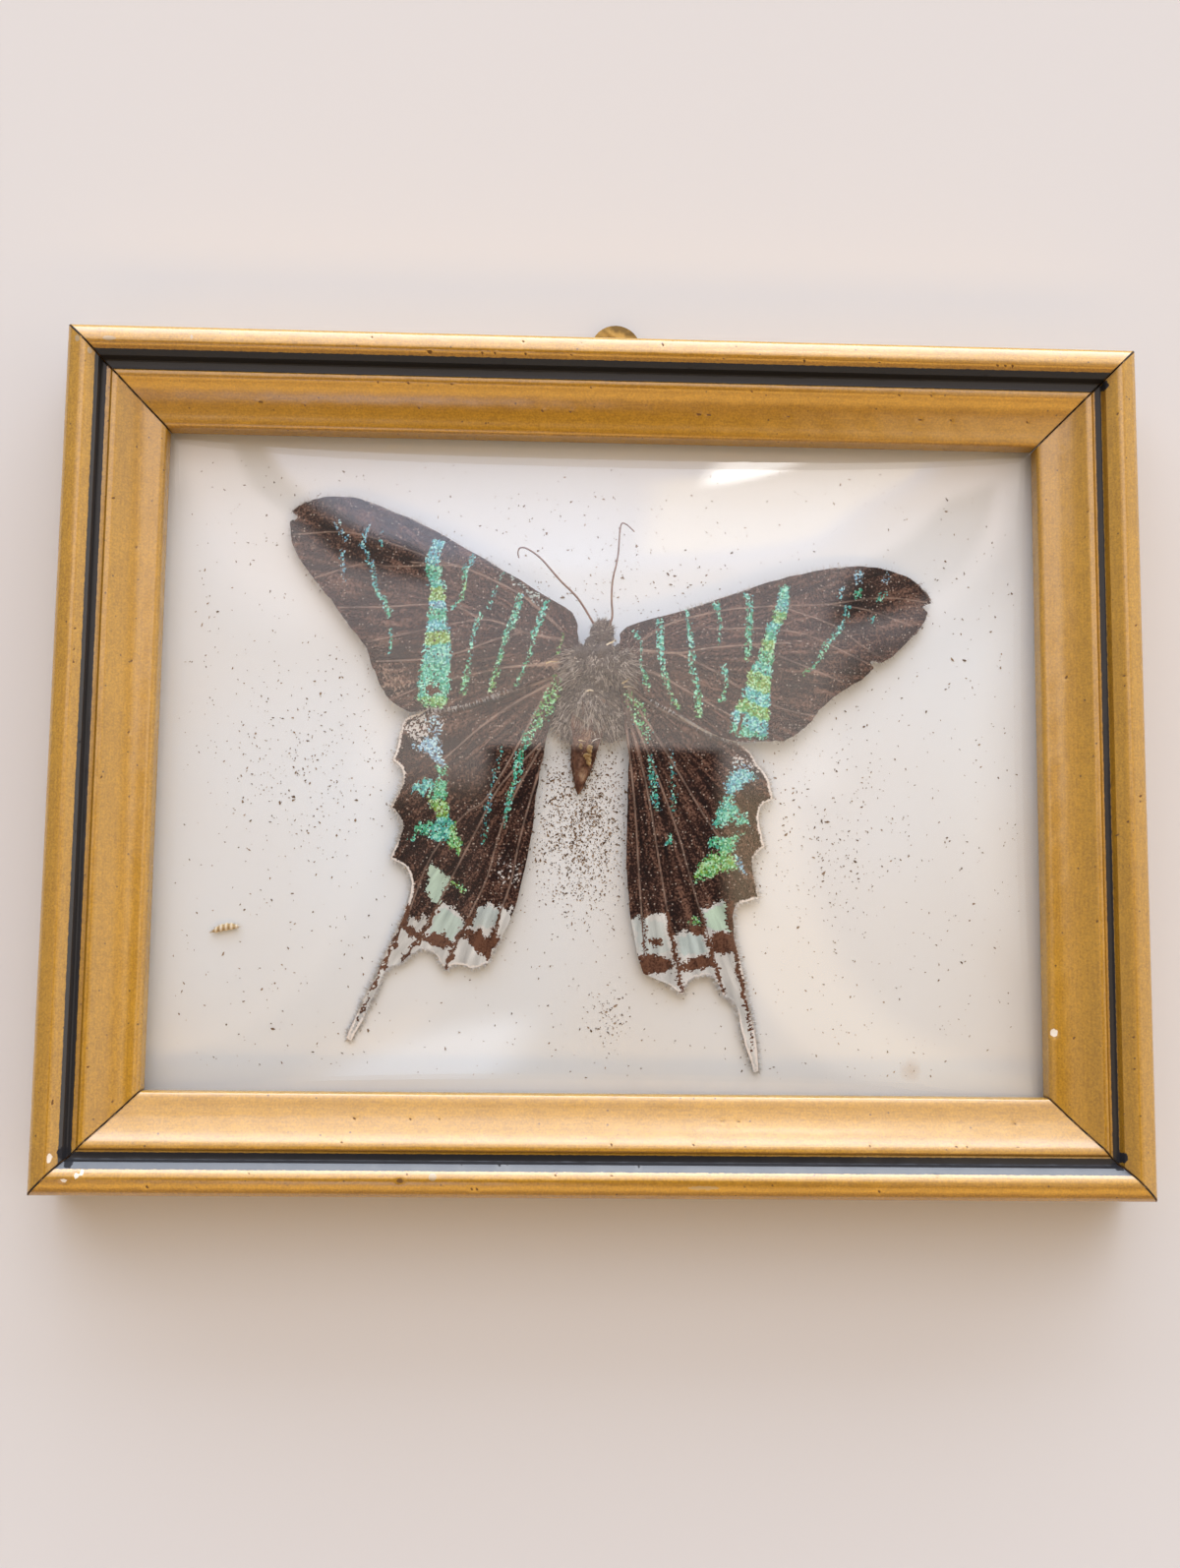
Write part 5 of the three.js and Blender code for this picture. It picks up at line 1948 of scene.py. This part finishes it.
@dataclass
class Studio:
    """A pale floor in a soft room: a lit ceiling, windows on the far side, the dark of the camera, and its view."""

    view_place: Place = (-8.24, -26.29, 194.58)
    view_turn: Place = (6.281, -2.150, 0.634)
    lens: float = 36.95
    evenness: float = 0.24
    backdrop: str = "E6DEDC"
    floor_size: float = 12.0
    windows: Sequence[Window] = (
        Window((-32, 20), (-0.62, 0.62), (5, 0.06), 0.6, "FFE6CE"),
        Window((-32, 12), (-0.33, 0.34), (5, 0.05), 0.8, "FFE6CE"),
        Window((-30, 7), (0.19, 0.34), (6, 0.04), 1.6, "FFE3BC"),
        Window((5, 24), (-0.33, 0.4), (2.5, 0.05), 1.8, "FFF1E8"),
        Window((20, 59), (-0.6, 0.52), (4, 0.06), 1.8, "FFF3F3"),
        Window((-50, 55), (-1.1, -0.66), (8, 0.05), 0.4, "FFF4E8"),
        Window((-50, 55), (0.6, 1.1), (8, 0.05), 1.0, "FFF4E8"),
        Window((61, 87), (-0.8, 0.8), (3, 0.1), 5.6, "DAE4F6"),
        Window((79, 96), (-0.2, 0.9), (4, 0.2), 8.0, "F4F8FF"),
        Window((-54, -44), (-0.5, 0.7), (2, 0.1), 3.6, "FFC46A"),
        Window((34, 60), (-0.24, 0.3), (2.5, 0.04), 2.7, "E9ECFF"),
        Window((37, 51), (0.08, 0.28), (1.5, 0.02), 3.4, "FFF6F0"),
        Window((49.5, 54), (0.12, 0.19), (1.2, 0.012), 11.0, "FFFFFF"),
        Window((23.5, 31), (0.355, 0.6), (1.5, 0.025), 0.45, "C8C0B8"),
        Window((29.5, 34.5), (-0.3, -0.17), (1.5, 0.02), 0.6, "C8C0B8"),
        Window((-27, 3), (-0.3, -0.1), (2.5, 0.03), 0.45, "B9ACA0"),
        Window((-42, 8), (-0.12, 0.21), (0.5, 0.02), 0.08, "B9ACA0"),
        Window((-41, -31), (-0.17, -0.02), (3, 0.03), 2.2, "E4EEFF"),
    )

    def floor(self) -> None:
        """Lays the paper sweep."""
        floor = started("paper_floor", bpy.ops.mesh.primitive_plane_add, size=self.floor_size)
        floor.data.materials.append(StudioPaper("studio_paper").material())

    def surround(self) -> None:
        """Lights the room: an even dim level, with brighter and darker parts laid over it in order.

        The room lights and reflects, but past the floor's edge only a plain backdrop shows.
        """
        world = bpy.data.worlds.new("soft_room")
        bpy.context.scene.world = world
        world.use_nodes = True
        tree = world.node_tree
        node = partial(add_node, tree)
        way = node("TexCoord").outputs["Generated"]
        across, far, high = node("SeparateXYZ", (way,)).outputs
        turned = node("Math", (far, high), operation="ARCTAN2")
        lean = node("Math", (turned,), operation="DEGREES")
        where = node("CombineXYZ", (lean, across))
        total = (*(self.evenness,) * 3, 1.0)
        smoothly = {"data_type": "FLOAT_VECTOR", "interpolation_type": "SMOOTHSTEP"}
        for window in self.windows:
            ends, soft = np.array((window.lean, window.side)), np.array(window.soft)
            half = np.ptp(ends, axis=1) / 2
            off = node("VectorMath", (where, (*ends.mean(axis=1), 0)), operation="SUBTRACT")
            away = node("VectorMath", (off,), operation="ABSOLUTE")
            limits = {7: (*(half - soft), 0), 8: (*(half + soft), 1), 9: (1, 1, 1), 10: (0, 0, 0)}
            inside = node("MapRange", {6: away, **limits}, **smoothly)
            along, beside, _ = node("SeparateXYZ", (inside,)).outputs
            share = node("Math", (along, beside), operation="MULTIPLY")
            tone = (*(channel * window.glow for channel in linear(window.tint)[:3]), 1.0)
            total = node("Mix", {0: share, 6: total, 7: tone}, data_type="RGBA")
        seen = node("LightPath").outputs["Is Camera Ray"]
        plain = node("Mix", {0: seen, 6: total, 7: linear(self.backdrop)}, data_type="RGBA")
        feed(tree, tree.nodes["Background"], {"Color": plain})

    def camera(self) -> None:
        """Sets the camera where the picture was taken from."""
        data = bpy.data.cameras.new("over_the_glass")
        data.lens, data.sensor_width, data.clip_start = self.lens, 36.0, 0.01
        camera = bpy.data.objects.new("over_the_glass", data)
        camera.location = Vector(self.view_place) * MM
        camera.rotation_euler = Euler([math.radians(a) for a in self.view_turn], "XYZ")
        bpy.context.collection.objects.link(camera)
        bpy.context.scene.camera = camera

    def build(self) -> None:
        """Sets the room up."""
        self.floor()
        self.surround()
        self.camera()
        bpy.context.scene.view_settings.view_transform = "Standard"


def main() -> None:
    """Builds the specimen and its room."""
    logging.basicConfig(level=logging.INFO, format="%(message)s")
    LOG.info("frame")
    PictureFrame().build()
    LOG.info("moth")
    for wing in (HINDWING_LEFT, HINDWING_RIGHT, FOREWING_LEFT, FOREWING_RIGHT):
        piece = wing.build()
        LOG.info("%s: %d faces", wing.name, len(piece.data.polygons))
    MothBody().build()
    Debris().build()
    LOG.info("studio")
    Studio().build()


if __name__ == "__main__":
    main()
